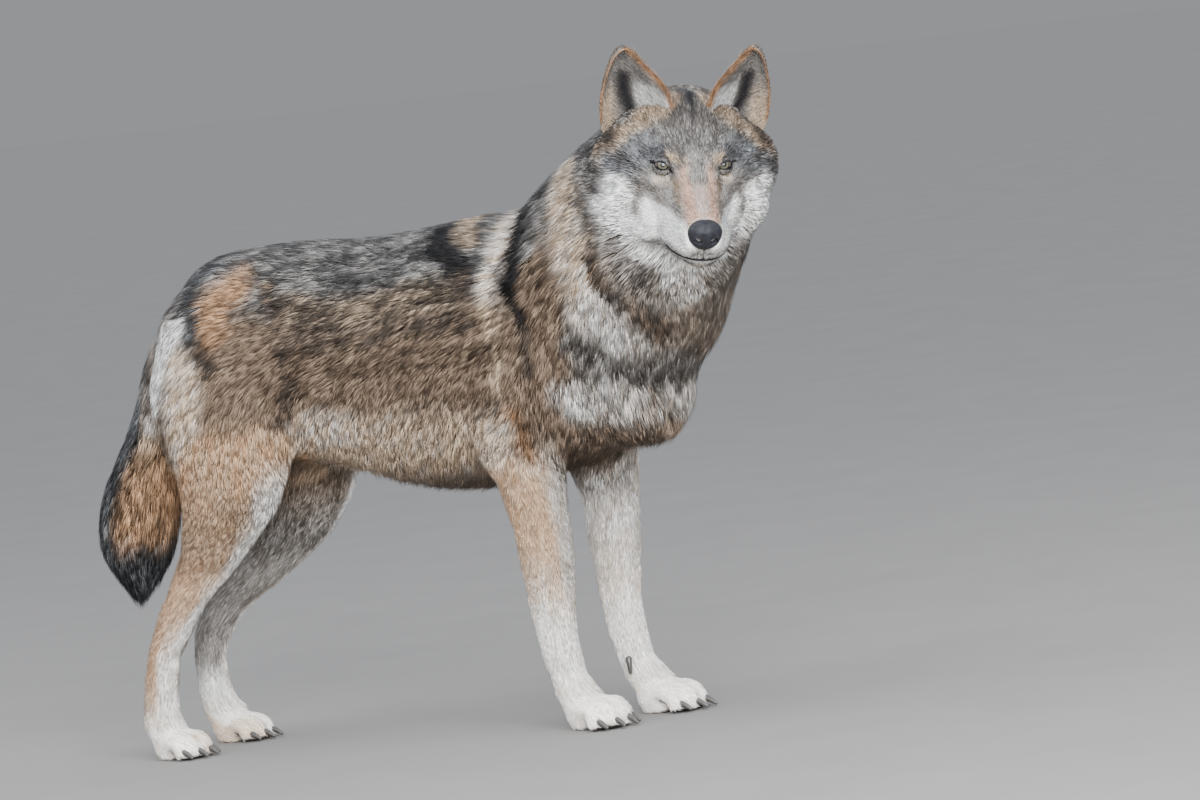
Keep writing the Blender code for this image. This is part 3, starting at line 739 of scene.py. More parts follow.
NECK_ZONES = [
    ("throat", [(0.47, 0.680), (0.42, 0.610)], 0.050, 0.04, "fawn", "silver", 0.45),
    ("side of the neck", [(0.345, 0.780), (0.350, 0.690)], 0.035, 0.03, "fawn", "brown", 0.40),
    ("crest", [(0.44, 0.920), (0.30, 0.870), (0.19, 0.810)], 0.030, 0.025, "silver", "black", 0.74),
    ("mane", [(0.300, 0.830), (0.316, 0.752), (0.320, 0.682), (0.338, 0.620)], 0.029, 0.024, "cream", "white", 0.12),
    ("mane's lower end", [(0.338, 0.625), (0.378, 0.568)], 0.022, 0.030, "white", "fawn", 0.45),
    ("collar", [(0.372, 0.810), (0.368, 0.720), (0.392, 0.655), (0.425, 0.590)], 0.0200, 0.022, "fawn", "umber", 0.78),
]
# On the head a path is in the head's own frame, on its left half, and the right half mirrors it.
HEAD_ZONES = [
    ("side of the head", [(-0.070, 0.118, 0.00), (-0.085, 0.132, -0.05)], 0.030, 0.02, "silver", "umber", 0.70),
    ("crown", [(-0.130, 0.015, 0.074), (-0.080, 0.022, 0.078)], 0.026, 0.018, "cream", "black", 0.86),
    ("forehead", [(-0.040, 0.0, 0.066), (0.014, 0.0, 0.030)], 0.040, 0.030, "silver", "umber", 0.88),
    ("temple", [(-0.010, 0.066, 0.020), (-0.028, 0.094, 0.003), (-0.035, 0.112, -0.021)], 0.022, 0.026,
     "slate", "umber", 0.60),
    ("brow band", [(-0.080, 0.022, 0.080), (-0.062, 0.047, 0.066), (-0.068, 0.073, 0.046)], 0.0105, 0.010,
     "cream", "brown", 0.40),
    ("brow band's outer end", [(-0.068, 0.073, 0.046), (-0.063, 0.098, 0.028), (-0.053, 0.117, 0.012)], 0.0085, 0.010,
     "cream", "brown", 0.50),
    ("under the ear", [(-0.069, 0.118, 0.018), (-0.069, 0.128, 0.010), (-0.085, 0.134, -0.020)], 0.009, 0.012,
     "fawn", "black", 0.80),
    ("wide stripe", [(-0.100, 0.0, 0.080), (-0.080, 0.0, 0.082), (-0.060, 0.0, 0.080)], 0.0065, 0.006,
     "umber", "black", 0.95),
    ("stripe", [(-0.060, 0.0, 0.080), (-0.033, 0.0, 0.067), (-0.023, 0.0, 0.058)], 0.0034, 0.004,
     "umber", "black", 1.00),
    ("white cheek", [(-0.034, 0.110, -0.047), (-0.019, 0.100, -0.060), (-0.032, 0.122, -0.088)], 0.020, 0.016,
     "white", "silver", 0.12),
    ("cheek", [(0.040, 0.050, -0.076), (0.005, 0.068, -0.085), (-0.020, 0.095, -0.100)], 0.026, 0.016,
     "white", "silver", 0.15),
    ("under the eye", [(0.012, 0.060, -0.024), (0.000, 0.074, -0.046), (0.003, 0.079, -0.068)], 0.0100, 0.014,
     "silver", "brown", 0.62),
    ("muzzle side", [(0.105, 0.024, -0.064), (0.060, 0.042, -0.064), (0.016, 0.058, -0.062)], 0.021, 0.014,
     "white", "silver", 0.20),
    ("muzzle under the eye", [(0.036, 0.038, -0.022), (0.022, 0.050, -0.036)], 0.0105, 0.012, "silver", "brown", 0.52),
    ("top of the muzzle", [(0.038, 0.0, 0.000), (0.070, 0.0, -0.014), (0.100, 0.0, -0.028)], 0.0290, 0.018,
     "cinnamon", "brown", 0.12),
    ("bridge", [(0.044, 0.0, 0.000), (0.090, 0.0, -0.022)], 0.0100, 0.014, "silver", "cinnamon", 0.45),
    ("line to the eye", [(0.060, 0.033, -0.026), (0.040, 0.034, -0.012), (0.024, 0.030, -0.004)], 0.0052, 0.010,
     "fawn", "brown", 0.34),
    ("between the eyes", [(0.036, 0.0, 0.008), (0.018, 0.0, 0.024)], 0.0150, 0.014, "silver", "umber", 0.60),
    ("over the eye", [(0.012, 0.030, 0.021), (0.008, 0.044, 0.022)], 0.0052, 0.008, "cream", "brown", 0.60),
    ("brow mark", [(0.001, 0.052, 0.026), (-0.004, 0.062, 0.022), (-0.022, 0.080, 0.011)], 0.0060, 0.009,
     "slate", "black", 0.82),
    ("below the eye", [(0.014, 0.040, -0.015), (0.006, 0.056, -0.0145)], 0.0046, 0.006, "cream", "silver", 0.50),
    ("round the nose", [(0.112, 0.0, -0.029), (0.112, 0.018, -0.036)], 0.0052, 0.007, "silver", "umber", 0.60),
    ("chin", [(0.112, 0.0, -0.104), (0.085, 0.012, -0.112)], 0.013, 0.010, "silver", "fawn", 0.35),
]
# Seen in the head's frame too, but over the long hair behind the cheeks and under the jaw.
RUFF_ZONES = [
    ("under the jaw", [(0.050, 0.0, -0.140), (0.020, 0.0, -0.180)], 0.044, 0.044, "white", "fawn", 0.42),
    ("ruff", [(-0.020, 0.108, -0.098), (0.012, 0.080, -0.126), (0.020, 0.040, -0.145)], 0.020, 0.022,
     "white", "silver", 0.35),
    ("collar's edge", [(-0.075, 0.140, -0.060), (-0.060, 0.138, -0.125), (-0.040, 0.105, -0.190)], 0.014, 0.014,
     "fawn", "umber", 0.78),
]
EAR_RIM = [*EAR_INNER[1:], EAR_TIP, *EAR_OUTER[:1:-1]]
WHISKER_ROWS = [(0.100, 0.027, -0.066), (0.094, 0.031, -0.073), (0.088, 0.0345, -0.080)]


def inside(distance, radius, softness):
    return ramp(distance, radius + softness / 2, radius - softness / 2)


def along_path(points, path, radius, softness):
    """1 this near to a path and 0 far from it."""
    return inside(near_path(points, path, False)[0], radius, softness)


def whisker_spots():
    """The whiskers' places on the left of the muzzle, each with its row and its step along the row."""
    for row, (ahead, aside, above) in enumerate(WHISKER_ROWS):
        for step in range(5):
            yield row, step, (ahead - 0.0095 * step - 0.003 * row, aside + 0.0022 * step, above + 0.0006 * step)


def markings(points, normals, kinds, colours):
    """The colour of the pale hair and of the dark hair at these points, and the share of dark hair, with painted shade
    in a few places.

    kinds holds how much each point belongs to each kind of node, from 0 to 1."""
    _, y, z = points.T
    local = to_head(points)
    sway = np.stack([noise(points, 0.050, k) for k in range(3)], axis=1) * 0.009
    sway += np.stack([noise(points, 0.016, k + 3) for k in range(3)], axis=1) * 0.004
    grade = ramp(z, 0.80, 0.45)[:, None]
    pale = colours["silver"] * (1 - grade) + colours["fawn"] * grade
    dark = np.broadcast_to(colours["umber"], pale.shape).copy()
    share = np.full(len(points), 0.50)

    def lay(mask, pale_name, dark_name, amount):
        nonlocal share
        m = mask[:, None]
        pale[:] = pale + m * (colours[pale_name] - pale)
        dark[:] = dark + m * (colours[dark_name] - dark)
        share = share + mask * (amount - share)

    def lay_zones(zones, where, spots, mirrored, flat=lambda p: p):
        spots = flat(np.array(spots))
        for _, path, radius, softness, pale_name, dark_name, amount in zones:
            reach = inside(near_path(spots, flat(np.array(path)), mirrored)[0], radius, softness)
            lay(reach * where, pale_name, dark_name, amount)

    fore, hind, paw, tail, head, ear = (kinds[:, k] for k in (FORELEG, HINDLEG, PAW, TAIL, HEAD, EAR))
    neck, trunk = kinds[:, NECK], kinds[:, TRUNK]
    outer = np.sign(y - MIDDLE) == np.sign(normals[:, 1])
    outward, inward = abs(normals[:, 1]) * outer, abs(normals[:, 1]) * ~outer
    high, forward = z + sway[:, 0] * 2.4, normals[:, 0]
    lay(hind, "fawn", "brown", 0.45)
    seen = (points + sway)[:, [0, 2]]
    lay_zones(BODY_ZONES, trunk + neck + hind + fore, seen, False)
    lay_zones(NECK_ZONES, neck, seen, False)
    lay_zones(RUFF_ZONES, (neck + head) * ramp(local[:, 0], 0.10, 0.06), local + sway * 0.6, True)
    # Painted shade: the low, inward-facing trunk at the armpits, groin and far thigh's inner side is darkened to fawn
    # and umber.
    lay(trunk * ramp(inward, 0.25, 0.75) * ramp(z, 0.52, 0.46), "fawn", "umber", 0.80)

    leg = fore * ramp(high, 0.47, 0.39)
    lay(leg, "white", "cream", 0.45)
    lay(leg * ramp(outward, 0.1, 0.7) * ramp(forward, 0.95, 0.45), "cream", "tan", 0.45)
    lay(leg * ramp(high, 0.30, 0.15), "white", "cream", 0.55)
    lay(leg * ramp(forward, 0.35, 0.85) * ramp(high, 0.19, 0.25) * 0.5, "silver", "brown", 0.30)
    lay(leg * ramp(high, 0.22, 0.13), "white", "cream", 0.15)
    lay(leg * ramp(inward, 0.0, 0.6) * ramp(z, 0.17, 0.30), "white", "fawn", 0.50)
    # Painted shade: the upper inner side of the forelegs, towards the armpit, is darkened to silver and brown.
    lay(leg * ramp(inward, 0.0, 0.6) * ramp(z, 0.29, 0.38), "silver", "brown", 0.55)
    elbow = along_path(seen, [(0.176, 0.480), (0.196, 0.415)], 0.010, 0.034)
    lay((fore + trunk) * elbow * ramp(outward, 0.0, 0.4), "tawny", "brown", 0.45)
    lay(hind * ramp(high, 0.42, 0.30), "cream", "tan", 0.50)
    lay(hind * ramp(forward, 0.25, 0.70) * ramp(z, 0.46, 0.38), "white", "silver", 0.10)
    lay(hind * ramp(high, 0.24, 0.14), "white", "cream", 0.20)
    heel = ramp(forward, 0.26, 0.0) * ramp(high, 0.36, 0.28) * ramp(z, 0.04, 0.09)
    lay(hind * heel, "tan", "cream", 0.30)
    inner = hind * ramp(inward, -0.1, 0.4)
    # Painted shade: the inner side of the hind legs is darkened to fawn and brown at the top and to silver and brown
    # lower down.
    lay(inner * ramp(z, 0.54, 0.48), "fawn", "brown", 0.45)
    lay(inner * ramp(z, 0.42, 0.30), "silver", "brown", 0.45)
    lay(inner * ramp(z, 0.14, 0.08), "white", "silver", 0.30)
    lay(paw, "white", "cream", 0.30)
    lay(paw * ramp(sway[:, 1], 0.001, 0.006), "cream", "white", 0.20)
    lay(paw * ramp(normals[:, 2], -0.5, -0.8), "umber", "black", 0.60)

    lay(tail, "cream", "brown", 0.55)
    lay(tail * ramp(high, 0.50, 0.42), "tan", "brown", 0.50)
    lay(tail * ramp(z, 0.50, 0.58), "silver", "umber", 0.62)
    behind = ramp(forward + sway[:, 1] * 10 + 0.35 * ramp(z, 0.50, 0.58), -0.05, -0.50)
    lay(tail * behind, "slate", "black", 0.90)
    lay(tail * ramp(high, 0.350, 0.300), "slate", "black", 0.88)
    strip = along_path(seen, [(-0.415, 0.668), (-0.450, 0.594), (-0.485, 0.520)], 0.019, 0.014)
    lay(tail * strip, "white", "cream", 0.30)

    low = ramp(local[:, 2], -0.11, -0.14)
    lay(head * (1 - low), "silver", "umber", 0.62)

    def squash(p):
        """Draws the back of the head together, so that a path there marks a longer place."""
        return np.stack([np.where(p[:, 0] < 0.04, 0.04 + 0.35 * (p[:, 0] - 0.04), p[:, 0]), p[:, 1], p[:, 2]], axis=1)

    front = head * ramp(local[:, 0], -0.150, -0.115)
    lay_zones(HEAD_ZONES, front, local + sway * 0.35, True, squash)
    face = head * (local[:, 0] > -0.03)
    spots = np.full(len(points), 9.0)
    for _, _, root in whisker_spots():
        for mirror in (1, -1):
            spots = np.minimum(spots, np.linalg.norm(local * (1, mirror, 1) - root, axis=1))
    lay(face * inside(spots, 0.0013, 0.0012) * 0.8, "umber", "black", 0.9)
    distance, along = near_path(local, Wolf.mouth)
    lip = 0.0022 + 0.0014 * ramp(along, 0.15, 0.35) + 0.0016 * ramp(along, 0.55, 0.95)
    lay(face * inside(distance, lip, 0.0012), "black", "black", 1.0)
    philtrum = along_path(local, [(0.127, 0.0, -0.066), (0.127, 0.0, -0.092)], 0.0020, 0.0016)
    lay(face * philtrum, "black", "black", 1.0)
    for side in (-1, 1):
        centre, axes = eye_axes(side)
        u, v, w = ((local - centre) @ axes).T
        gap, _ = opening(u, v)
        flat = np.stack([u, v, 0 * u], axis=1)
        rim = (np.hypot(u, v) < 0.03) & (w > -0.012)
        corner = np.minimum(
            near_path(flat, [(-0.0115, -0.0018, 0), (-0.0175, -0.0048, 0)], False)[0],
            near_path(flat, [(0.0115, 0.0005, 0), (0.0175, 0.0020, 0)], False)[0],
        )
        lay(rim * np.maximum(ramp(gap, 1.80, 1.50), inside(corner, 0.0019, 0.0016)), "black", "black", 1.0)

    lay(ear, "fawn", "umber", 0.70)
    within = ear * (in_ear(normals, local) > 0.0)
    across = abs(local[:, 1]) - 0.086 - 0.10 * (local[:, 2] - 0.06)
    lay(within, "silver", "umber", 0.82)
    lay(within * ramp(across, 0.006, 0.026) * ramp(local[:, 2], 0.105, 0.045), "cream", "umber", 0.58)
    lay(within * ramp(across, -0.004, -0.014) * ramp(local[:, 2], 0.100, 0.080), "white", "umber", 0.70)
    # Painted shade: the deep hollow at the base of the ear's inside is painted near black.
    hollow, _ = near_path((local + sway * 0.25) * (0, 1, 1), [(0, 0.078, 0.040), (0, 0.089, 0.064), (0, 0.094, 0.092)])
    lay(within * inside(hollow, 0.0095, 0.017), "umber", "black", 0.97)
    distance, along = near_path(local, EAR_RIM)
    lay(ear * inside(distance, 0.0078 - 0.0044 * ramp(along, 0.45, 0.65), 0.008), "tawny", "umber", 0.50)
    return pale, dark, np.clip(share, 0, 1)


# ---------------------------------------------------------------- the unwrap of the skin

MAP_ACROSS = 1.90  # metres of skin across the whole map
# Where each node's patch starts on the map, in metres, the way it runs, the way it faces, and its mean radius.
PATCHES = {
    "trunk": ((0.51, 0.53), (1, 0, 0), (0, 0, 1), 0.165),
    "neck": ((1.00, 0.45), (0.82, -0.26, 0.51), (-0.5, 0.1, 0.85), 0.138),
    "head": ((1.57, 0.28), HEAD_AXES[:, 0], HEAD_AXES[:, 2], 0.083),
    "tail": ((1.20, 0.72), (0, 0, 1), (-1, 0, 0), 0.048),
    "foreleg_left": ((0.94, 1.21), (0, 0, 1), (0, 1, 0), 0.040),
    "foreleg_right": ((1.36, 1.21), (0, 0, 1), (0, -1, 0), 0.040),
    "hindleg_left": ((-0.05, 1.26), (0, 0, 1), (0, 1, 0), 0.056),
    "hindleg_right": ((0.42, 1.26), (0, 0, 1), (0, -1, 0), 0.056),
}
FLAT_PATCHES = {
    "ear_left": (0.10, 1.55), "ear_right": (0.44, 1.55), "forepaw_left": (0.80, 1.50), "forepaw_right": (1.10, 1.50),
    "hindpaw_left": (1.40, 1.50), "hindpaw_right": (1.70, 1.50),
}


def unwrapped(points, node, turned, references):
    """Places on the map, 0 to 1, for rows of points that each belong to one face or one root."""
    spots = np.zeros(points.shape[:-1] + (2,))
    for name in FLESH:
        own = node == FLESH.index(name)
        if not own.any():
            continue
        p = points[own]
        if name in PATCHES:
            start, along, zero, radius = PATCHES[name]
            along, zero = unit(along), np.array(zero, float)
            zero = unit(zero - along * (along @ zero))
            levels, centres = references[name]
            s = p @ along
            r = p - np.stack([np.interp(s, levels, centres[:, k]) for k in range(3)], axis=-1)
            angle = np.arctan2(r @ np.cross(along, zero), r @ zero)
            if angle.ndim == 2:
                split = (angle.max(axis=1) - angle.min(axis=1)) > math.pi
                angle = np.where(split[:, None] & (angle < 0), angle + 2 * math.pi, angle)
            flat = np.stack([s - levels[0] - 0.5, angle * radius], axis=-1)
        else:
            start = FLAT_PATCHES[name]
            if name.startswith("ear"):
                local, shift = to_head(p), (0.16, 0.0)
                flat = np.stack([abs(local[..., 1]) - 0.06, local[..., 2] - 0.05], axis=-1)
            else:
                lo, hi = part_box(name)
                flat, shift = p[..., :2] - [(lo[k] + hi[k]) / 2 for k in (0, 1)], (0.0, 0.13)
            back = turned[own].reshape((-1,) + (1,) * (flat.ndim - 1))
            flat = flat + back * np.array(shift)
        spots[own] = np.array(start) + flat
    return np.clip(spots / MAP_ACROSS, 0.002, 0.998)


def patch_references(points, node):
    """The middle line of each node that is unrolled round itself."""
    found = {}
    for name, (_, along, _, _) in PATCHES.items():
        own = points[node == FLESH.index(name)]
        found[name] = middles(own, own @ unit(along), 16)
    return found


# ---------------------------------------------------------------- materials


def adder(tree):
    """A function that adds a node to this tree and sets its inputs and properties by name."""

    def add(kind, **values):
        node = tree.nodes.new(kind)
        for key, value in values.items():
            if key in node.inputs.keys():
                node.inputs[key].default_value = value
            else:
                setattr(node, key, value)
        return node

    return add


def wire(tree, *links):
    """Joins nodes: each link is a node and its output, then a node and its input."""
    for start, output, end, entry in links:
        tree.links.new(start.outputs[output], end.inputs[entry])


def set_stops(node, stops):
    """Sets the stops of a colour ramp, each a place from 0 to 1 and its colour."""
    elements = node.color_ramp.elements
    while len(elements) < len(stops):
        elements.new(0.5)
    for element, (position, colour) in zip(elements, stops):
        element.position, element.color = position, (*colour, 1)


def shades(add, colour, *stops):
    """A colour ramp through shades of one colour, each a place from 0 to 1 and its factor."""
    node = add("ShaderNodeValToRGB")
    set_stops(node, [(position, [c * factor for c in colour]) for position, factor in stops])
    return node


def new_material(name, roughness, specular=0.5, coat=0.0):
    """A material with its tree, its shader and a function that adds a node."""
    made = bpy.data.materials.new(name)
    made.use_nodes = True
    shader = made.node_tree.nodes["Principled BSDF"]
    values = {"Roughness": roughness, "Specular IOR Level": specular, "Coat Weight": coat, "Coat Roughness": 0.06}
    for label, value in values.items():
        shader.inputs[label].default_value = value
    return made, made.node_tree, shader, adder(made.node_tree)


def coat_material(name, roughness, grain, strength):
    """Colour from the coat's own attribute, varied hair by hair, with fine hair as bump."""
    made, tree, shader, add = new_material(name, roughness, specular=0.15)
    paint = add("ShaderNodeAttribute", attribute_name="coat_colour")
    place = add("ShaderNodeTexCoord")
    hair = add("ShaderNodeTexNoise", Scale=grain, Detail=3.0, Roughness=0.6)
    vary = add("ShaderNodeMapRange", **{"From Min": 0.25, "From Max": 0.75, "To Min": 0.80, "To Max": 1.18})
    tint = add("ShaderNodeVectorMath", operation="SCALE")
    bump = add("ShaderNodeBump", Strength=strength, Distance=0.001)
    wire(
        tree, (place, "Object", hair, "Vector"), (hair, "Fac", vary, "Value"), (paint, "Color", tint, 0),
        (vary, "Result", tint, "Scale"), (tint, "Vector", shader, "Base Color"), (hair, "Fac", bump, "Height"),
        (bump, "Normal", shader, "Normal"),
    )
    return made


def paint_points(mesh, colour):
    layer = mesh.color_attributes.new("coat_colour", "FLOAT_COLOR", "POINT")
    rgba = np.concatenate([np.clip(colour, 0, 1), np.ones((len(colour), 1))], axis=1)
    layer.data.foreach_set("color", rgba.astype(np.float32).ravel())


def set_map(mesh, places):
    layer = mesh.uv_layers.new(name="OFBake")
    layer.uv.foreach_set("vector", np.asarray(places, np.float32).ravel())


# ---------------------------------------------------------------- tufts

# A tuft is a point under its root, three points round its middle and its tip. Its triangles face outwards.
TUFT_FACES = np.array([(0, 2, 1), (0, 3, 2), (0, 1, 3), (1, 2, 4), (2, 3, 4), (3, 1, 4)])
# Where the tuft's points lie on the map about its root's place, as shares of the whole map.
TUFT_MAP = np.array([(0, -0.0015), (-0.0014, 0), (0, -0.0004), (0.0014, 0), (0, 0.0015)])
ROOT_DEPTH = 0.0006  # how far under the skin a tuft starts, and the least height of its points over the floor
FLATNESS = 0.45  # a tuft's thickness against its width
LOCK = 16  # tufts whose tips draw together


def on_outer(places, depth, height):
    """Places at this share of the coat's depth, under the coat's outer surface."""
    found = [Wolf.outer.find_nearest(p)[:2] for p in places.tolist()]
    surface, normal = (np.array([f[k] for f in found]) for k in (0, 1))
    return surface - normal * (depth * (1 - height))[:, None]


def grow(name, chosen, settings, seed, length, width, cover, most, material="winter_coat", slot="coat", rise=0.2):
    """One piece of the coat: closed tufts rooted on the chosen faces of the skin.

    length and width are a root's usual ones by the coat's depth there: (least, per metre of depth). most is
    the largest number of triangles."""
    rng = np.random.default_rng(settings.seed * 100 + seed)
    f = Wolf.fields
    tri = f["triangles"][chosen]
    corners = f["points"][tri]
    area = np.linalg.norm(np.cross(corners[:, 1] - corners[:, 0], corners[:, 2] - corners[:, 0]), axis=1) / 2
    depth, trim, bare = (f[field][tri].mean(axis=1) for field in ("depth", "trim", "bare"))
    long, wide = (length[0] + length[1] * depth) * trim, width[0] + width[1] * depth
    density = (1 - bare) * area / (long * wide)
    count = int(min(3.0 * cover * settings.cover * density.sum(), most // len(TUFT_FACES)))
    reach = np.cumsum(density)
    at = np.searchsorted(reach, (np.arange(count) + rng.random(count)) / count * reach[-1])
    at = np.minimum(at, len(tri) - 1)
    r1, r2 = np.sqrt(rng.random(count)), rng.random(count)
    bary = np.stack([1 - r1, r1 * (1 - r2), r1 * r2], axis=1)[..., None]

    def here(values):
        return (values[tri[at]] * (bary if values.ndim == 2 else bary[..., 0])).sum(axis=1)

    root, normal, depth = here(f["points"]), unit(here(f["normals"])), here(f["depth"])
    lie = laid(here(f["lie"]), normal)
    kind, node = f["kind"][tri[at][:, 0]], f["node"][tri[at][:, 0]]

    clumps = max(4, count // LOCK)
    centres = rng.choice(count, clumps, replace=False)
    tree = KDTree(clumps)
    for i, p in enumerate(root[centres].tolist()):
        tree.insert(p, i)
    tree.balance()
    nearest = np.array([tree.find(p)[1] for p in root.tolist()])
    mood, sway = rng.uniform(-1, 1, clumps)[nearest], rng.normal(0, 1, clumps)[nearest]
    leader = centres[nearest]

    long = (length[0] + length[1] * depth) * here(f["trim"]) * settings.length
    long = long * (0.75 + 0.5 * rng.random(count)) * (1 + 0.10 * mood)
    wide = (width[0] + width[1] * depth) * settings.width * (0.8 + 0.4 * rng.random(count))
    deep = ramp(depth, 0.005, 0.014)
    turn = (0.5 + 0.5 * deep) * (0.10 * sway + 0.10 * rng.normal(size=count) + 0.16 * noise(root, 0.07, 11))
    way = np.cos(turn)[:, None] * lie + np.sin(turn)[:, None] * np.cross(normal, lie)
    roll = rng.uniform(0, 2 * math.pi, count)

    # Short hair leaves the skin at its own slant. Long hair climbs to the coat's surface and lies along it.
    lift = rng.random(count)
    slant = (rise * (0.6 + 0.8 * lift))[:, None]
    short_mid = root + long[:, None] * (0.40 * way + 0.42 * slant * normal)
    short_tip = root + long[:, None] * (0.95 * way + 0.80 * slant * normal)
    start = root + normal * depth[:, None]
    mid = on_outer(start + way * (0.40 * long)[:, None], depth, 0.74 + 0.18 * lift)
    tip = on_outer(start + way * (0.92 * long)[:, None], depth, 0.86 + 0.20 * lift)
    mid = short_mid + (mid - short_mid) * deep[:, None]
    tip = short_tip + (tip - short_tip) * deep[:, None]
    tip[:, 2] -= here(f["hang"]) * rng.random(count) ** 1.5
    pull = (deep * (0.20 + 0.50 * rng.random(count)) + (1 - deep) * 0.12)[:, None] * settings.clump
    tip = tip + pull * (tip[leader] - tip)
    mid = mid + 0.35 * pull * (mid[leader] - mid)
    base = root - normal * ROOT_DEPTH
    ahead = unit(tip - base)
    across = unit(np.cross(ahead, normal))
    over = np.cross(across, ahead)
    ring = []
    for k in range(3):
        angle = roll + k * 2 * math.pi / 3
        out = np.cos(angle)[:, None] * across + FLATNESS * np.sin(angle)[:, None] * over
        ring.append(mid + (wide / 2)[:, None] * out)
    verts = np.stack([base, *ring, tip], axis=1)
    verts[..., 2] = np.maximum(verts[..., 2], ROOT_DEPTH)

    shown = mid + 0.4 * (tip - mid)
    pale, dark, share = markings(shown, normal, here(f["kinds"]), Wolf.colours)
    streak = noise_along(root, kind, 0.0085, 0.28, 21) + 0.6 * noise_along(root, kind, 0.0040, 0.35, 22)
    wild = 0.11 * mood + (0.42 - 0.12 * deep) * rng.uniform(-1, 1, count) + 0.62 * streak * (0.40 + 0.60 * deep)
    tone = np.clip((share + wild - 0.06) / 0.88, 0, 1)[:, None]
    bright = (1 + 0.13 * rng.normal(size=count) + 0.04 * mood)[:, None]
    tip_colour = (pale + (dark - pale) * tone) * bright
    body_colour = (pale + (dark - pale) * tone * 0.85) * bright
    root_shade = (0.92 - 0.24 * deep)[:, None]
    colour = np.stack([body_colour * root_shade, *[body_colour * 0.95] * 3, tip_colour], axis=1)

    faces = (TUFT_FACES[None] + (np.arange(count) * len(TUFT_MAP))[:, None, None]).reshape(-1, 3)
    mesh = mesh_from(name, verts.reshape(-1, 3), faces)
    paint_points(mesh, colour.reshape(-1, 3))
    turned = np.where(kind == EAR, f["inner_ear"][tri[at][:, 0]], normal[:, 2] < -0.3)
    spot = unwrapped(root, node, turned, f["references"])
    set_map(mesh, (spot[:, None] + TUFT_MAP[None]).reshape(-1, 2)[faces.ravel()])
    mesh.materials.append(bpy.data.materials.get(material) or coat_material(material, 0.62, 1400.0, 0.15))
    dress(link(bpy.data.objects.new(name, mesh)), slot)
    print(f"{name}: {count} tufts, {len(faces)} triangles", flush=True)


# ---------------------------------------------------------------- eyes, nose, claws, whiskers

GAZE = (0.88, 0.12, 0.42)  # the way the left eye looks; the right eye looks across a little
IRIS_RADIUS = 0.0078
SPHERE_GAP = 0.0001  # how far the eyeball stays inside its solid
SWELL = 0.0009  # of the clear front over the iris


def gaze_axes(side):
    ahead = unit([GAZE[0], -0.10 + GAZE[1] * side, GAZE[2]])
    left = unit(np.cross((0.0, 0.0, 1.0), ahead))
    return HEAD_AXES @ np.stack([ahead, left, np.cross(ahead, left)], axis=1)


def make_eye(name, side):
    """An eyeball with its cornea standing a little forward over the iris."""
    mesh = bmesh.new()
    bmesh.ops.create_uvsphere(mesh, u_segments=64, v_segments=48, radius=1.0)
    iris = math.asin(IRIS_RADIUS / EYE_RADIUS)
    for vertex in mesh.verts:
        x, y, z = vertex.co.z, vertex.co.x, vertex.co.y
        off = math.acos(max(-1.0, min(1.0, x)))
        swell = SWELL * max(0.0, math.cos(min(off / (iris * 1.1), 1.0) * math.pi / 2)) ** 1.2
        vertex.co = Vector((x, y, z)) * (EYE_RADIUS - SPHERE_GAP + swell)
    axes = gaze_axes(side)
    place = from_head(eye_axes(side)[0])
    turn = Matrix(axes.tolist()).to_4x4()
    mesh.transform(Matrix.Translation(place.tolist()) @ turn)
    bmesh.ops.recalc_face_normals(mesh, faces=mesh.faces)
    return smooth_piece(mesh, name), place, axes


PUPIL = (0.002, 0.002, 0.002)


def eye_material(name, place, axes, iris_colour):
    """Pupil, iris and the dark white of a wolf's eye as rings round its own axis."""
    made, tree, shader, add = new_material(name, 0.14, specular=0.4, coat=0.35)
    back = Matrix(axes.tolist()).inverted()
    where = add("ShaderNodeTexCoord")
    centre = add("ShaderNodeMapping", Rotation=back.to_euler("XYZ"), Location=-(back @ Vector(place.tolist())))
    parts, flat = add("ShaderNodeSeparateXYZ"), add("ShaderNodeCombineXYZ")
    size = add("ShaderNodeVectorMath", operation="LENGTH")
    rays = add("ShaderNodeTexNoise", Scale=420.0, Detail=4.0)
    waver = add("ShaderNodeMath", operation="MULTIPLY_ADD")
    waver.inputs[1].default_value, waver.inputs[2].default_value = 0.0012, -0.0006
    total, scaled = add("ShaderNodeMath", operation="ADD"), add("ShaderNodeMath", operation="MULTIPLY")
    scaled.inputs[1].default_value = 1 / EYE_RADIUS
    rings = add("ShaderNodeValToRGB")
    iris = np.array(iris_colour)
    set_stops(rings, [
        (0.00, PUPIL), (0.215, PUPIL), (0.255, iris * 0.30), (0.33, iris * 0.85), (0.46, iris), (0.555, iris * 0.55),
        (0.61, (0.012, 0.011, 0.010)), (0.66, (0.020, 0.016, 0.013)), (0.80, (0.10, 0.075, 0.06)),
    ])
    wire(
        tree, (where, "Object", centre, "Vector"), (centre, "Vector", parts, "Vector"), (parts, "Y", flat, "Y"),
        (parts, "Z", flat, "Z"), (flat, "Vector", size, 0), (centre, "Vector", rays, "Vector"),
        (rays, "Fac", waver, 0), (size, "Value", total, 0), (waver, "Value", total, 1), (total, "Value", scaled, 0),
        (scaled, "Value", rings, "Fac"), (rings, "Color", shader, "Base Color"),
    )
    return made


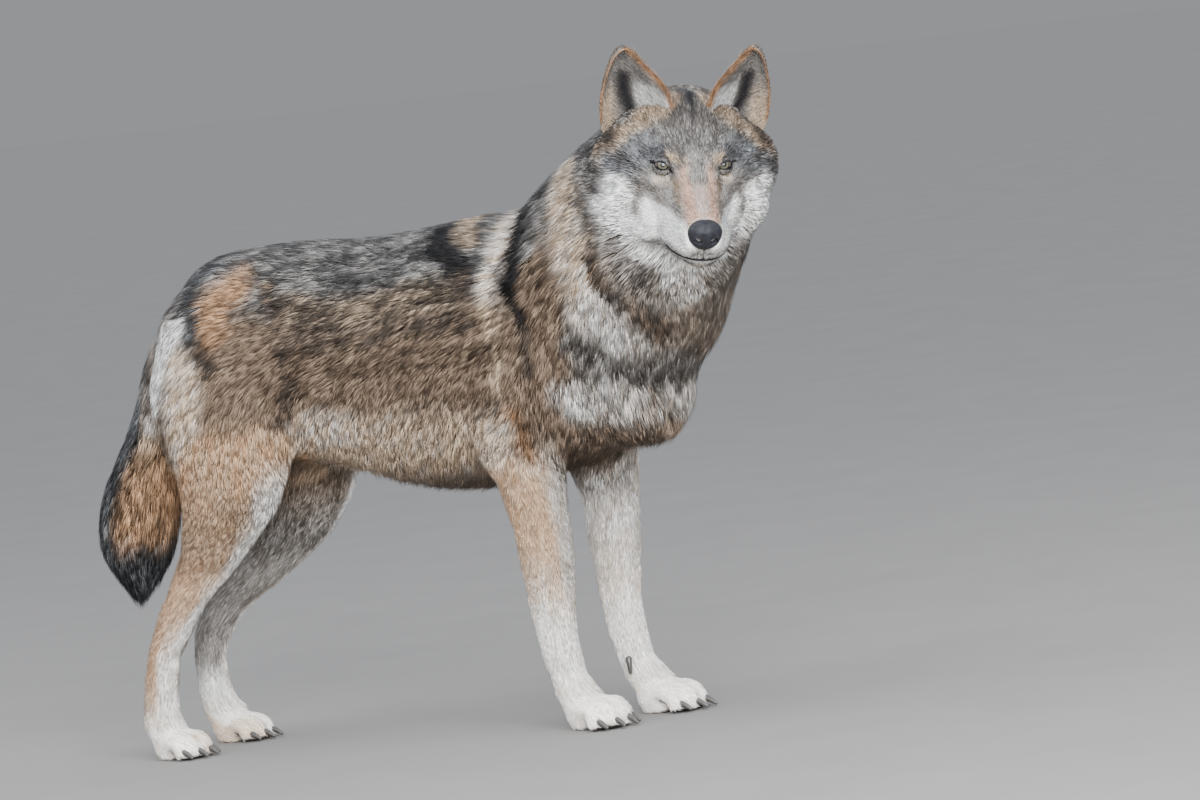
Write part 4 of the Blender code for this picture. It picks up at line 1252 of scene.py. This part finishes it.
def make_nose():
    """The nose pad: broad over the top, with a nostril and a slit on each side and a groove between."""
    mesh = bmesh.new()
    bmesh.ops.create_icosphere(mesh, subdivisions=6, radius=1.0)
    s = np.array([v.co for v in mesh.verts])
    boxy = np.sign(s) * abs(s) ** 0.88
    boxy = boxy / np.linalg.norm(boxy, axis=1, keepdims=True) ** 0.6
    x, y, z = (boxy * NOSE_RADII).T
    y = y * (1 + 0.10 * ramp(z, -0.012, 0.010))
    x = x + 0.0015 * ramp(z, -0.002, 0.012) * (x > 0)
    front = ramp(x, 0.000, 0.007)
    flat = np.stack([abs(y), z], axis=1)
    pit = along_path(flat, [(0.0096, -0.0050), (0.0128, -0.0030)], 0.0030, 0.0030)
    slit = along_path(flat, [(0.0125, -0.0035), (0.0205, -0.0068)], 0.0009, 0.0018) * ramp(x, -0.006, 0.003)
    groove = inside(abs(y), 0.0006, 0.0016) * ramp(z, 0.004, -0.004)
    wing = along_path(flat, [(0.0150, 0.0010), (0.0185, -0.0030)], 0.0020, 0.0040)
    dent = inside(abs(y), 0.0030, 0.0060) * ramp(z, 0.006, 0.014)
    x = x - front * (0.0085 * pit + 0.0014 * groove) - 0.0022 * slit + 0.0006 * wing * front
    local = np.stack([x, y * (1 - 0.10 * slit), z - 0.0008 * dent], axis=1) + NOSE_CENTRE
    for vertex, place in zip(mesh.verts, from_head(local)):
        vertex.co = place
    bmesh.ops.recalc_face_normals(mesh, faces=mesh.faces)
    return smooth_piece(mesh, "nose_pad")


def nose_material(colour):
    """Pebbled black skin, a little wet."""
    made, tree, shader, add = new_material("nose_leather", 0.42, specular=0.12)
    where = add("ShaderNodeTexCoord")
    pebbles = add("ShaderNodeTexVoronoi", Scale=900.0)
    mottle = add("ShaderNodeTexNoise", Scale=160.0, Detail=3.0)
    tones = shades(add, colour, (0.3, 1.0), (0.7, 2.2))
    bump = add("ShaderNodeBump", Strength=0.55, Distance=0.0006, invert=True)
    wire(
        tree, (where, "Object", pebbles, "Vector"), (where, "Object", mottle, "Vector"),
        (mottle, "Fac", tones, "Fac"), (tones, "Color", shader, "Base Color"),
        (pebbles, "Distance", bump, "Height"), (bump, "Normal", shader, "Normal"),
    )
    return made


def claw_material(colour):
    """Dark horn with fine streaks and paler worn patches."""
    made, tree, shader, add = new_material("dark_horn", 0.38, coat=0.1)
    where = add("ShaderNodeTexCoord")
    streaks = add("ShaderNodeTexNoise", Scale=260.0, Detail=4.0, Roughness=0.7)
    tones = shades(add, colour, (0.35, 0.6), (0.70, 1.5))
    bump = add("ShaderNodeBump", Strength=0.25, Distance=0.0004)
    wire(
        tree, (where, "Object", streaks, "Vector"), (streaks, "Fac", tones, "Fac"),
        (tones, "Color", shader, "Base Color"), (streaks, "Fac", bump, "Height"),
        (bump, "Normal", shader, "Normal"),
    )
    return made


def whisker_tree(material):
    """Geometry Nodes: a tapering, drooping whisker on every root, along the root's own direction."""
    tree = bpy.data.node_groups.new("whiskers", "GeometryNodeTree")
    face = tree.interface
    face.new_socket("Geometry", in_out="INPUT", socket_type="NodeSocketGeometry")
    for label, value, high in (("Length", 0.06, 0.2), ("Thickness", 0.0005, 0.01), ("Droop", 0.2, 2.0)):
        socket = face.new_socket(label, in_out="INPUT", socket_type="NodeSocketFloat")
        socket.default_value, socket.min_value, socket.max_value = value, 0.0, high
    face.new_socket("Seed", in_out="INPUT", socket_type="NodeSocketInt").default_value = 1
    face.new_socket("Geometry", in_out="OUTPUT", socket_type="NodeSocketGeometry")
    add = adder(tree)
    start, end = add("NodeGroupInput"), add("NodeGroupOutput")

    line = add("GeometryNodeMeshLine", Count=9, Offset=(0, 0, 0.125))
    curve, along = add("GeometryNodeMeshToCurve"), add("GeometryNodeSplineParameter")
    square, fall = add("ShaderNodeMath", operation="POWER"), add("ShaderNodeMath", operation="MULTIPLY")
    square.inputs[1].default_value = 2.0
    offset, bend = add("ShaderNodeCombineXYZ"), add("GeometryNodeSetPosition")
    taper = add("ShaderNodeMapRange", **{"To Min": 1.0, "To Max": 0.12})
    radius, ratio = add("GeometryNodeSetCurveRadius"), add("ShaderNodeMath", operation="DIVIDE")
    section = add("GeometryNodeCurvePrimitiveCircle", Resolution=5)
    tube = add("GeometryNodeCurveToMesh", **{"Fill Caps": True})
    wire(
        tree, (line, "Mesh", curve, "Mesh"), (along, "Factor", square, 0), (square, "Value", fall, 0),
        (start, "Droop", fall, 1), (fall, "Value", offset, "X"), (curve, "Curve", bend, "Geometry"),
        (offset, "Vector", bend, "Offset"), (along, "Factor", taper, "Value"), (bend, "Geometry", radius, "Curve"),
        (taper, "Result", radius, "Radius"), (start, "Thickness", ratio, 0), (start, "Length", ratio, 1),
        (ratio, "Value", section, "Radius"), (radius, "Curve", tube, "Curve"),
        (section, "Curve", tube, "Profile Curve"),
    )
    if "Scale" in tube.inputs.keys():
        wire(tree, (taper, "Result", tube, "Scale"))

    lie = add("GeometryNodeInputNamedAttribute", data_type="FLOAT_VECTOR", Name="lie")
    turn = add("FunctionNodeAlignRotationToVector", axis="Z")
    down = add("FunctionNodeAlignRotationToVector", axis="X", pivot_axis="Z", Vector=(0, 0, -1))
    sizes = add("FunctionNodeRandomValue", data_type="FLOAT", Min=0.55, Max=1.0)
    scale = add("ShaderNodeMath", operation="MULTIPLY")
    place, real = add("GeometryNodeInstanceOnPoints"), add("GeometryNodeRealizeInstances")
    clad = add("GeometryNodeSetMaterial", Material=material)
    wire(
        tree, (lie, "Attribute", turn, "Vector"), (turn, "Rotation", down, "Rotation"),
        (start, "Seed", sizes, "Seed"), (sizes, "Value", scale, 0), (start, "Length", scale, 1),
        (start, "Geometry", place, "Points"), (tube, "Mesh", place, "Instance"),
        (down, "Rotation", place, "Rotation"), (scale, "Value", place, "Scale"),
        (place, "Instances", real, "Geometry"), (real, "Geometry", clad, "Geometry"),
        (clad, "Geometry", end, "Geometry"),
    )
    return tree


def set_inputs(modifier, tree, values):
    """Sets a modifier's inputs by their sockets' identifiers."""
    for item in tree.interface.items_tree:
        if item.item_type == "SOCKET" and item.in_out == "INPUT" and item.name in values:
            modifier[item.identifier] = values[item.name]


# ---------------------------------------------------------------- settings


def length_prop(name, description, default, low=0.0, high=1.0):
    return FloatProperty(
        name=name, description=description, default=default, min=low, max=high, subtype="DISTANCE", unit="LENGTH"
    )


def factor_prop(name, description, default, low=0.0, high=3.0):
    return FloatProperty(name=name, description=description, default=default, min=low, max=high, subtype="FACTOR")


def colour_prop(name, description, default):
    return FloatVectorProperty(
        name=name, description=description, default=default, min=0, max=1, size=3, subtype="COLOR"
    )


def power_prop(name, description, default):
    return FloatProperty(
        name=name, description=description, default=default, min=0.0, subtype="POWER", unit="POWER"
    )


def angle_prop(name, description, degrees):
    return FloatProperty(
        name=name, description=description, default=math.radians(degrees), subtype="ANGLE", unit="ROTATION"
    )


COAT_COLOURS = {
    "white": ("White hair", "Muzzle sides, cheeks, paws", (0.90, 0.88, 0.85)),
    "cream": ("Cream hair", "Mane, belly, insides of the legs", (0.58, 0.43, 0.30)),
    "silver": ("Silver hair", "Pale part of the grizzled hair", (0.38, 0.355, 0.33)),
    "fawn": ("Fawn hair", "Flanks, ruff and thighs", (0.27, 0.192, 0.135)),
    "tan": ("Tan hair", "Legs and hip", (0.56, 0.325, 0.180)),
    "tawny": ("Tawny hair", "Rims of the ears, elbow, back of the hind legs", (0.32, 0.155, 0.065)),
    "cinnamon": ("Cinnamon hair", "Top of the muzzle", (0.46, 0.29, 0.215)),
    "slate": ("Slate hair", "Temples and shoulder stripe", (0.205, 0.209, 0.215)),
    "brown": ("Brown hair", "Dark part of the flank's hair", (0.055, 0.036, 0.024)),
    "umber": ("Umber hair", "Dark part of the grizzled hair", (0.038, 0.031, 0.027)),
    "black": ("Black hair", "Saddle, tail, stripes and lips", (0.010, 0.0095, 0.011)),
}


class WolfCoatSettings(bpy.types.PropertyGroup):
    """The coat's hair and its colours."""

    length: factor_prop("Length", "Length of the hair against its usual length", 1.0)
    width: factor_prop("Width", "Width of a tuft against its usual width", 1.0)
    cover: factor_prop("Cover", "How many tufts lie over each place", 2.6, 0.2, 8.0)
    clump: factor_prop("Clumping", "How far the tips of a lock draw together", 0.8)
    seed: IntProperty(name="Seed", description="Seed of everything random in the coat", default=4, min=0)
    skin_faces: IntProperty(
        name="Skin faces", description="Triangles of the skin before the face is refined", default=128000, min=10000
    )


for _key, (_label, _help, _value) in COAT_COLOURS.items():
    WolfCoatSettings.__annotations__[_key] = colour_prop(_label, _help, _value)


class WolfFaceSettings(bpy.types.PropertyGroup):
    """Eyes, nose, claws and whiskers."""

    iris: colour_prop("Iris", "Colour of the iris", (0.085, 0.080, 0.055))
    nose: colour_prop("Nose", "Colour of the nose pad", (0.010, 0.010, 0.012))
    horn: colour_prop("Horn", "Colour of the claws", (0.045, 0.040, 0.036))
    claw_girth: length_prop("Claw girth", "How far the claws stand out over their solids", 0.0020, 0.0, 0.004)
    whisker: colour_prop("Whisker", "Colour of the whiskers", (0.10, 0.09, 0.085))
    whisker_length: length_prop("Whisker length", "Length of the longest whisker", 0.062, 0.0, 0.2)
    whisker_thickness: length_prop("Whisker thickness", "Radius of a whisker at its root", 0.00035, 0.0, 0.002)
    whisker_droop: factor_prop("Whisker droop", "How far a whisker sags against its length", 0.22)


class WolfStageSettings(bpy.types.PropertyGroup):
    """The floor, the light and the camera."""

    floor: colour_prop("Floor", "Colour of the floor", (0.195, 0.184, 0.173))
    horizon: factor_prop("Horizon", "Brightness of the sky at the horizon against the floor under it", 0.98)
    sky: colour_prop("Sky", "Colour of the light from all round", (0.80, 0.87, 0.97))
    sky_strength: factor_prop("Sky strength", "Strength of the light from all round", 2.05)
    key_power: power_prop("Key light", "Power of the large soft light overhead", 180.0)
    fill_power: power_prop("Fill light", "Power of the soft light beside the camera", 1080.0)
    target: FloatVectorProperty(
        name="Looks at", description="Where the camera looks", default=(0.26177, 0.04746, 0.48602), size=3,
        subtype="XYZ", unit="LENGTH",
    )
    azimuth: angle_prop("Azimuth", "The camera's way round the animal, from its right side towards its front", 27)
    elevation: angle_prop("Elevation", "The camera's height as an angle", 4)
    roll: angle_prop("Roll", "The camera's roll", 7.5)
    distance: length_prop("Distance", "From the camera to where it looks", 10.0, 0.5, 50.0)
    lens: FloatProperty(
        name="Lens", description="Focal length in millimetres", default=200.0, min=20.0, unit="CAMERA"
    )


# ---------------------------------------------------------------- operators


def dress(piece, slot, *nodes):
    """Every piece of the still animal rides on its one body."""
    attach(piece, "root")
    if nodes:
        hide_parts(*nodes)
    return piece


def needs_skin():
    if Wolf.skin is None:
        raise RuntimeError("Make the skin first: the coat grows on it")


def at_faces(field):
    """The skin's triangles' values of a field, at their first corners."""
    return Wolf.fields[field][Wolf.fields["triangles"][:, 0]]


def face_middles():
    return Wolf.fields["points"][Wolf.fields["triangles"]].mean(axis=1)


def detailed(flesh):
    """The skin of the body with its lids, lips and nose bed, as points and triangles. Takes the object away."""
    surface = BVHTree.FromPolygons(to_head(points_of(flesh.data)).tolist(), triangles_of(flesh.data).tolist())
    line = between(MOUTH, np.linspace(0, len(MOUTH) - 1.001, 29))
    Wolf.mouth = np.array([surface.find_nearest(p)[0] for p in line.tolist()])
    refine(flesh.data, near_face_details, FINE_EDGE)
    points, triangles = points_of(flesh.data), triangles_of(flesh.data)
    normals, local = normals_of(points, triangles), to_head(points)
    face = local[:, 0] > -0.04
    shaped = shape_mouth(local[face], normals[face] @ HEAD_AXES)
    points[face] = from_head(shape_eyes(shape_nose_bed(shaped)))
    bpy.data.objects.remove(flesh)
    return points, triangles


def depth_of_skin(points, triangles, node):
    """How far the skin lies under the coat's outer surface. On the face it is as designed."""
    depth = np.array([Wolf.outer.find_nearest(p)[3] for p in points.tolist()])
    design = depth_of_coat(points, normals_of(points, triangles), KIND_OF_NODE[node])
    short = (KIND_OF_NODE[node] == HEAD) * ramp(to_head(points)[:, 0], -0.05, FACE_BACK)
    return np.maximum(depth + short * (design - depth), LEAST_DEPTH)


def bare_and_trim(points, normals, kind):
    """Where no hair grows, and how long the hair is against its usual length round the eyes, nose and mouth."""
    local = to_head(points)
    bare = ((normals[:, 2] < -0.6) & (points[:, 2] < 0.010)).astype(float)
    nose = np.linalg.norm((local - NOSE_CENTRE) / NOSE_RADII, axis=1)
    mouth = near_path(local, Wolf.mouth)[0]
    bare = np.maximum(bare, ((nose < 1.12) | (mouth < 0.0034)) & (kind == HEAD))
    trim = 1 - 0.60 * np.exp(-((mouth / 0.012) ** 2)) - 0.55 * np.exp(-(((nose - 1) / 0.35) ** 2)) * (nose < 3)
    for side in (-1, 1):
        centre, axes = eye_axes(side)
        u, v, w = ((local - centre) @ axes).T
        gap, _ = opening(u, v)
        bare = np.maximum(bare, (gap < 1.30) & (w > -0.005) & (np.hypot(u, v) < 0.03))
        trim = trim - 0.5 * np.exp(-((np.linalg.norm(local - centre, axis=1) / 0.024) ** 2))
    return bare, np.where(kind == HEAD, np.clip(trim, 0.35, 1), 1.0)


class WOLF_OT_skin(bpy.types.Operator):
    """One skin for all the nodes of flesh, with lids, lips and ears, inside the coat by its depth"""

    bl_idname = "wolf.skin"
    bl_label = "Skin"

    def execute(self, context):
        settings = context.scene.wolf_coat
        Wolf.colours = {name: np.array(getattr(settings, name)) for name in COAT_COLOURS}
        flesh, points, edges, triangles, kind = make_outer()
        Wolf.outer = BVHTree.FromPolygons(points.tolist(), triangles.tolist())
        flesh = thin_out(make_inner(flesh, points, edges, triangles, kind), settings.skin_faces)
        points, triangles = detailed(flesh)
        node = find_node(points)
        depth = depth_of_skin(points, triangles, node)
        for name, side in (("ear_left", 1), ("ear_right", -1)):
            ear_points, ear_triangles = ear_shell(side)
            triangles = np.concatenate([triangles, ear_triangles + len(points)])
            points = np.concatenate([points, ear_points])
            node = np.concatenate([node, np.full(len(ear_points), FLESH.index(name))])
            depth = np.concatenate([depth, np.full(len(ear_points), EAR_DEPTH)])
        z = points[:, 2]
        z[:] = np.maximum(z, FLOOR_GAP)
        mesh = mesh_from("skin", points, triangles)
        edges, normals, kind = edges_of(mesh), normals_of(points, triangles), KIND_OF_NODE[node]
        depth = spread(depth, edges, 0.3 * (depth > 0.002), 10)
        lie = lie_of_coat(points, normals, kind, node)
        for _ in range(8):
            lie = laid(spread(lie, edges, 0.5, 4), normals)
        bare, trim = bare_and_trim(points, normals, kind)
        kinds = spread(np.stack([kind == k for k in range(8)], axis=1).astype(float), edges, 0.6, 30)
        hang = 0.012 * ramp(z, 0.50, 0.44) * (kind == TRUNK) + 0.008 * ((kind == NECK) & (normals[:, 2] < -0.2))
        hang = hang + (0.006 + 0.018 * ramp(z, 0.34, 0.27)) * (kind == TAIL)
        Wolf.fields = {
            "points": points, "triangles": triangles, "normals": normals, "kind": kind, "node": node, "depth": depth,
            "lie": lie, "bare": bare, "hang": hang, "inner_ear": in_ear(normals, to_head(points)) > 0, "trim": trim,
            "kinds": kinds, "references": patch_references(points, node),
        }
        pale, dark, share = markings(points + normals * depth[:, None], normals, kinds, Wolf.colours)
        shade = (0.95 - 0.27 * ramp(depth, 0.003, 0.012))[:, None]
        paint_points(mesh, (pale + (dark - pale) * share[:, None]) * shade)
        turned = np.where(at_faces("kind") == EAR, at_faces("inner_ear"), at_faces("normals")[:, 2] < -0.3)
        places = unwrapped(points[triangles], at_faces("node"), turned, Wolf.fields["references"])
        set_map(mesh, places.reshape(-1, 2))
        mesh.materials.append(coat_material("short_hair", 0.70, 900.0, 0.5))
        Wolf.skin = dress(link(bpy.data.objects.new("skin", mesh)), "coat", *FLESH)
        print(f"skin: {len(triangles)} triangles", flush=True)
        return {"FINISHED"}


class WOLF_OT_head_coat(bpy.types.Operator):
    """The short hair of the face, the longer hair of cheeks and crown, and the ears"""

    bl_idname = "wolf.head_coat"
    bl_label = "Coat of the head"

    def execute(self, context):
        needs_skin()
        settings, kind, local = context.scene.wolf_coat, at_faces("kind"), to_head(face_middles())
        fore = local[:, 0] > FACE_BACK
        grow("coat_face", (kind == HEAD) & fore, settings, 1, (0.0070, 1.35), (0.00105, 0.020), 1.0, 150000)
        grow("coat_head", (kind == HEAD) & ~fore, settings, 2, (0.0058, 1.45), (0.00080, 0.028), 1.3, 150000)
        grow("coat_ears", kind == EAR, settings, 3, (0.0085, 0), (0.0009, 0), 1.0, 90000, "ear_hair")
        hairy = (kind == EAR) & (near_path(local, EAR_INNER[1:5])[0] < 0.016) & at_faces("inner_ear")
        grow("coat_ear_hair", hairy, settings, 4, (0.020, 0), (0.0005, 0), 1.2, 16000, "ear_hair", rise=0.45)
        return {"FINISHED"}


class WOLF_OT_body_coat(bpy.types.Operator):
    """The long coat of neck, shoulders, back, flanks, belly and rump"""

    bl_idname = "wolf.body_coat"
    bl_label = "Coat of the body"

    def execute(self, context):
        needs_skin()
        kind, middle, outside = at_faces("kind"), face_middles(), at_faces("normals")[:, 1]
        left, fore = middle[:, 1] > MIDDLE, middle[:, 0] > WAIST
        pieces = (
            ("coat_neck_left", (kind == NECK) & (outside > 0), 84000),
            ("coat_neck_right", (kind == NECK) & (outside <= 0), 84000),
            ("coat_fore_left", (kind == TRUNK) & left & fore, 112000),
            ("coat_fore_right", (kind == TRUNK) & ~left & fore, 112000),
            ("coat_rear_left", (kind == TRUNK) & left & ~fore, 112000),
            ("coat_rear_right", (kind == TRUNK) & ~left & ~fore, 112000),
        )
        for number, (name, chosen, most) in enumerate(pieces):
            grow(name, chosen, context.scene.wolf_coat, 10 + number, (0.008, 1.50), (0.0007, 0.0165), 1.5, most)
        return {"FINISHED"}


class WOLF_OT_tail_coat(bpy.types.Operator):
    """The bushy coat of the tail"""

    bl_idname = "wolf.tail_coat"
    bl_label = "Coat of the tail"

    def execute(self, context):
        needs_skin()
        chosen = at_faces("kind") == TAIL
        grow("coat_tail", chosen, context.scene.wolf_coat, 20, (0.012, 1.2), (0.0009, 0.022), 1.6, 90000)
        return {"FINISHED"}


class WOLF_OT_leg_coat(bpy.types.Operator):
    """The close coat of the legs and paws"""

    bl_idname = "wolf.leg_coat"
    bl_label = "Coat of the legs"

    def execute(self, context):
        needs_skin()
        kind, high = at_faces("kind"), at_faces("points")[:, 2] > THIGH_FOOT
        leg, wide = (0.0120, 1.30), (0.00075, 0.022)
        pieces = (
            ("coat_forelegs", kind == FORELEG, leg, wide, 1.2, 150000),
            ("coat_thighs", (kind == HINDLEG) & high, leg, wide, 1.3, 130000),
            ("coat_hindlegs", (kind == HINDLEG) & ~high, leg, wide, 1.2, 80000),
            ("coat_paws", kind == PAW, (0.0085, 0), (0.0009, 0), 0.9, 52000),
        )
        for number, (name, chosen, *sizes) in enumerate(pieces):
            grow(name, chosen, context.scene.wolf_coat, 30 + number, *sizes, "leg_hair", "leg_coat")
        return {"FINISHED"}


class WOLF_OT_eyes(bpy.types.Operator):
    """Both eyeballs"""

    bl_idname = "wolf.eyes"
    bl_label = "Eyes"

    def execute(self, context):
        colour = context.scene.wolf_face.iris
        for name, side in (("left", 1), ("right", -1)):
            eye, place, axes = make_eye("eyeball_" + name, side)
            eye.data.materials.append(eye_material("iris_" + name, place, axes, colour))
            dress(eye, "eye", "eye_" + name)
        return {"FINISHED"}


class WOLF_OT_nose(bpy.types.Operator):
    """The nose pad"""

    bl_idname = "wolf.nose"
    bl_label = "Nose"

    def execute(self, context):
        nose = make_nose()
        nose.data.materials.append(nose_material(context.scene.wolf_face.nose))
        dress(nose, "nose_skin", "nose")
        return {"FINISHED"}


class WOLF_OT_claws(bpy.types.Operator):
    """A smooth claw for each of the claws of the solids"""

    bl_idname = "wolf.claws"
    bl_label = "Claws"

    def execute(self, context):
        settings = context.scene.wolf_face
        horn = claw_material(settings.horn)
        for name in [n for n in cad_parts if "claw_" in n]:
            mesh = bmesh.new()
            mesh.from_mesh(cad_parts[name].data)
            bmesh.ops.remove_doubles(mesh, verts=mesh.verts, dist=WELD)
            bmesh.ops.dissolve_limit(mesh, angle_limit=0.02, verts=mesh.verts, edges=mesh.edges)
            claw = smooth_piece(mesh, "horn_" + name)
            smooth = claw.modifiers.new("smooth", "SUBSURF")
            smooth.levels = smooth.render_levels = 2
            settle(claw)
            points, triangles = points_of(claw.data), triangles_of(claw.data)
            points = points + normals_of(points, triangles) * settings.claw_girth
            claw.data.vertices.foreach_set("co", points.astype(np.float32).ravel())
            claw.data.materials.clear()
            claw.data.materials.append(horn)
            dress(claw, "claw_horn", name)
        return {"FINISHED"}


class WOLF_OT_whiskers(bpy.types.Operator):
    """Whiskers on both sides of the muzzle, and a few over the eyes"""

    bl_idname = "wolf.whiskers"
    bl_label = "Whiskers"

    def execute(self, context):
        needs_skin()
        settings = context.scene.wolf_face
        tree = BVHTree.FromPolygons(Wolf.fields["points"].tolist(), Wolf.fields["triangles"].tolist())
        roots, ways = [], []
        for side in (-1, 1):
            for row, step, (ahead, aside, above) in whisker_spots():
                roots.append((ahead, side * aside, above))
                ways.append((0.10 - 0.16 * step, side, 0.06 - 0.22 * row))
            for k in range(3):
                roots.append((0.000 - 0.004 * k, side * (0.040 + 0.006 * k), 0.020))
                ways.append((0.35, side * 0.30, 0.75))
        found = [tree.find_nearest(p)[:2] for p in from_head(np.array(roots)).tolist()]
        mesh = bpy.data.meshes.new("whisker_roots")
        mesh.from_pydata([f[0] - 0.001 * f[1] for f in found], [], [])
        lie = mesh.attributes.new("lie", "FLOAT_VECTOR", "POINT")
        lie.data.foreach_set("vector", (unit(ways) @ HEAD_AXES.T).astype(np.float32).ravel())
        whiskers = link(bpy.data.objects.new("whiskers", mesh))
        hair, _, shader, _ = new_material("whisker_hair", 0.35, specular=0.4)
        shader.inputs["Base Color"].default_value = (*settings.whisker, 1)
        nodes = whisker_tree(hair)
        modifier = whiskers.modifiers.new("whiskers", "NODES")
        modifier.node_group = nodes
        set_inputs(modifier, nodes, {
            "Length": settings.whisker_length, "Thickness": settings.whisker_thickness,
            "Droop": settings.whisker_droop, "Seed": 5,
        })
        settle(whiskers)
        dress(whiskers, "coat")
        return {"FINISHED"}


FLOOR_HALF = 40.0  # metres from the floor's middle to its edges


def make_floor(settings):
    made, tree, shader, add = new_material("studio_floor", 0.9, specular=0.0)
    where = add("ShaderNodeTexCoord")
    grain = add("ShaderNodeTexNoise", Scale=5.0, Detail=5.0)
    tones = shades(add, settings.floor, (0.3, 0.97), (0.7, 1.03))
    wire(
        tree, (where, "Object", grain, "Vector"), (grain, "Fac", tones, "Fac"),
        (tones, "Color", shader, "Base Color"),
    )
    corners = np.array([(-1, -1, 0), (1, -1, 0), (1, 1, 0), (-1, 1, 0)]) * FLOOR_HALF
    mesh = mesh_from("studio_floor", corners, np.array([[0, 1, 2, 3]]), smooth=False)
    mesh.materials.append(made)
    link(bpy.data.objects.new("studio_floor", mesh))


def make_sky(settings):
    """Light from all round, which fades into the floor's own colour under the horizon."""
    world = bpy.data.worlds.new("studio")
    world.use_nodes = True
    tree = world.node_tree
    add, light = adder(tree), tree.nodes["Background"]
    light.inputs["Strength"].default_value = settings.sky_strength
    direction, parts = add("ShaderNodeTexCoord"), add("ShaderNodeSeparateXYZ")
    height = add("ShaderNodeMapRange", **{"From Min": -1.0})
    sky = add("ShaderNodeValToRGB")
    low = [c * s * settings.horizon for c, s in zip(settings.floor, settings.sky)]
    set_stops(sky, [(0.48, low), (0.535, low), (0.68, settings.sky), (1.0, settings.sky)])
    wire(
        tree, (direction, "Generated", parts, "Vector"), (parts, "Z", height, "Value"),
        (height, "Result", sky, "Fac"), (sky, "Color", light, "Color"),
    )
    return world


def add_lamp(name, power, place, aim):
    lamp = bpy.data.lights.new(name, "AREA")
    lamp.energy, lamp.size, lamp.color = power, 4.0, (0.95, 0.98, 1.0)
    obj = link(bpy.data.objects.new(name, lamp))
    obj.location = place
    obj.rotation_euler = (Vector(aim) - Vector(place)).to_track_quat("-Z", "Y").to_euler()


def make_camera(settings):
    azimuth, elevation, roll = settings.azimuth, settings.elevation, settings.roll
    level = Vector((math.cos(azimuth), math.sin(azimuth), 0))
    back = Vector((
        math.sin(azimuth) * math.cos(elevation), -math.cos(azimuth) * math.cos(elevation), math.sin(elevation)
    ))
    over = back.cross(level)
    right = level * math.cos(roll) - over * math.sin(roll)
    up = level * math.sin(roll) + over * math.cos(roll)
    lens = bpy.data.cameras.new("camera")
    lens.lens, lens.sensor_width = settings.lens, 36.0
    lens.clip_start, lens.clip_end = 0.1, 200.0
    camera = link(bpy.data.objects.new("camera", lens))
    turn = Matrix((right, up, back)).transposed().to_4x4()
    camera.matrix_world = Matrix.Translation(Vector(settings.target) + back * settings.distance) @ turn
    return camera


class WOLF_OT_stage(bpy.types.Operator):
    """A pale floor, soft light and the camera"""

    bl_idname = "wolf.stage"
    bl_label = "Stage"

    def execute(self, context):
        settings, scene = context.scene.wolf_stage, context.scene
        make_floor(settings)
        scene.world = make_sky(settings)
        add_lamp("key", settings.key_power, (-0.8, -1.6, 4.2), (0.0, 0.0, 0.4))
        add_lamp("fill", settings.fill_power, (3.0, -4.2, 1.7), (0.1, 0.0, 0.5))
        scene.camera = make_camera(settings)
        return {"FINISHED"}


OPERATORS = (
    WOLF_OT_skin, WOLF_OT_head_coat, WOLF_OT_body_coat, WOLF_OT_tail_coat, WOLF_OT_leg_coat,
    WOLF_OT_eyes, WOLF_OT_nose, WOLF_OT_claws, WOLF_OT_whiskers, WOLF_OT_stage,
)


class WOLF_PT_parts(bpy.types.Panel):
    """Lists the wolf's pieces, each with its operator"""

    bl_idname = "WOLF_PT_parts"
    bl_label = "Timber wolf"
    bl_space_type = "VIEW_3D"
    bl_region_type = "UI"
    bl_category = "Wolf"

    def draw(self, context):
        layout = self.layout
        for operator in OPERATORS:
            layout.operator(operator.bl_idname)
        for group in (context.scene.wolf_coat, context.scene.wolf_face, context.scene.wolf_stage):
            box = layout.box()
            for name in group.__annotations__:
                box.prop(group, name)


SETTINGS = {"wolf_coat": WolfCoatSettings, "wolf_face": WolfFaceSettings, "wolf_stage": WolfStageSettings}


def register():
    for cls in (*SETTINGS.values(), *OPERATORS, WOLF_PT_parts):
        bpy.utils.register_class(cls)
    for name, group in SETTINGS.items():
        setattr(bpy.types.Scene, name, PointerProperty(type=group))


def unregister():
    for name in SETTINGS:
        delattr(bpy.types.Scene, name)
    for cls in reversed((*SETTINGS.values(), *OPERATORS, WOLF_PT_parts)):
        bpy.utils.unregister_class(cls)


def main():
    register()
    bpy.ops.wolf.stage()
    bpy.ops.wolf.skin()
    bpy.ops.wolf.head_coat()
    bpy.ops.wolf.body_coat()
    bpy.ops.wolf.tail_coat()
    bpy.ops.wolf.leg_coat()
    bpy.ops.wolf.eyes()
    bpy.ops.wolf.nose()
    bpy.ops.wolf.claws()
    bpy.ops.wolf.whiskers()


if __name__ == "__main__":
    main()
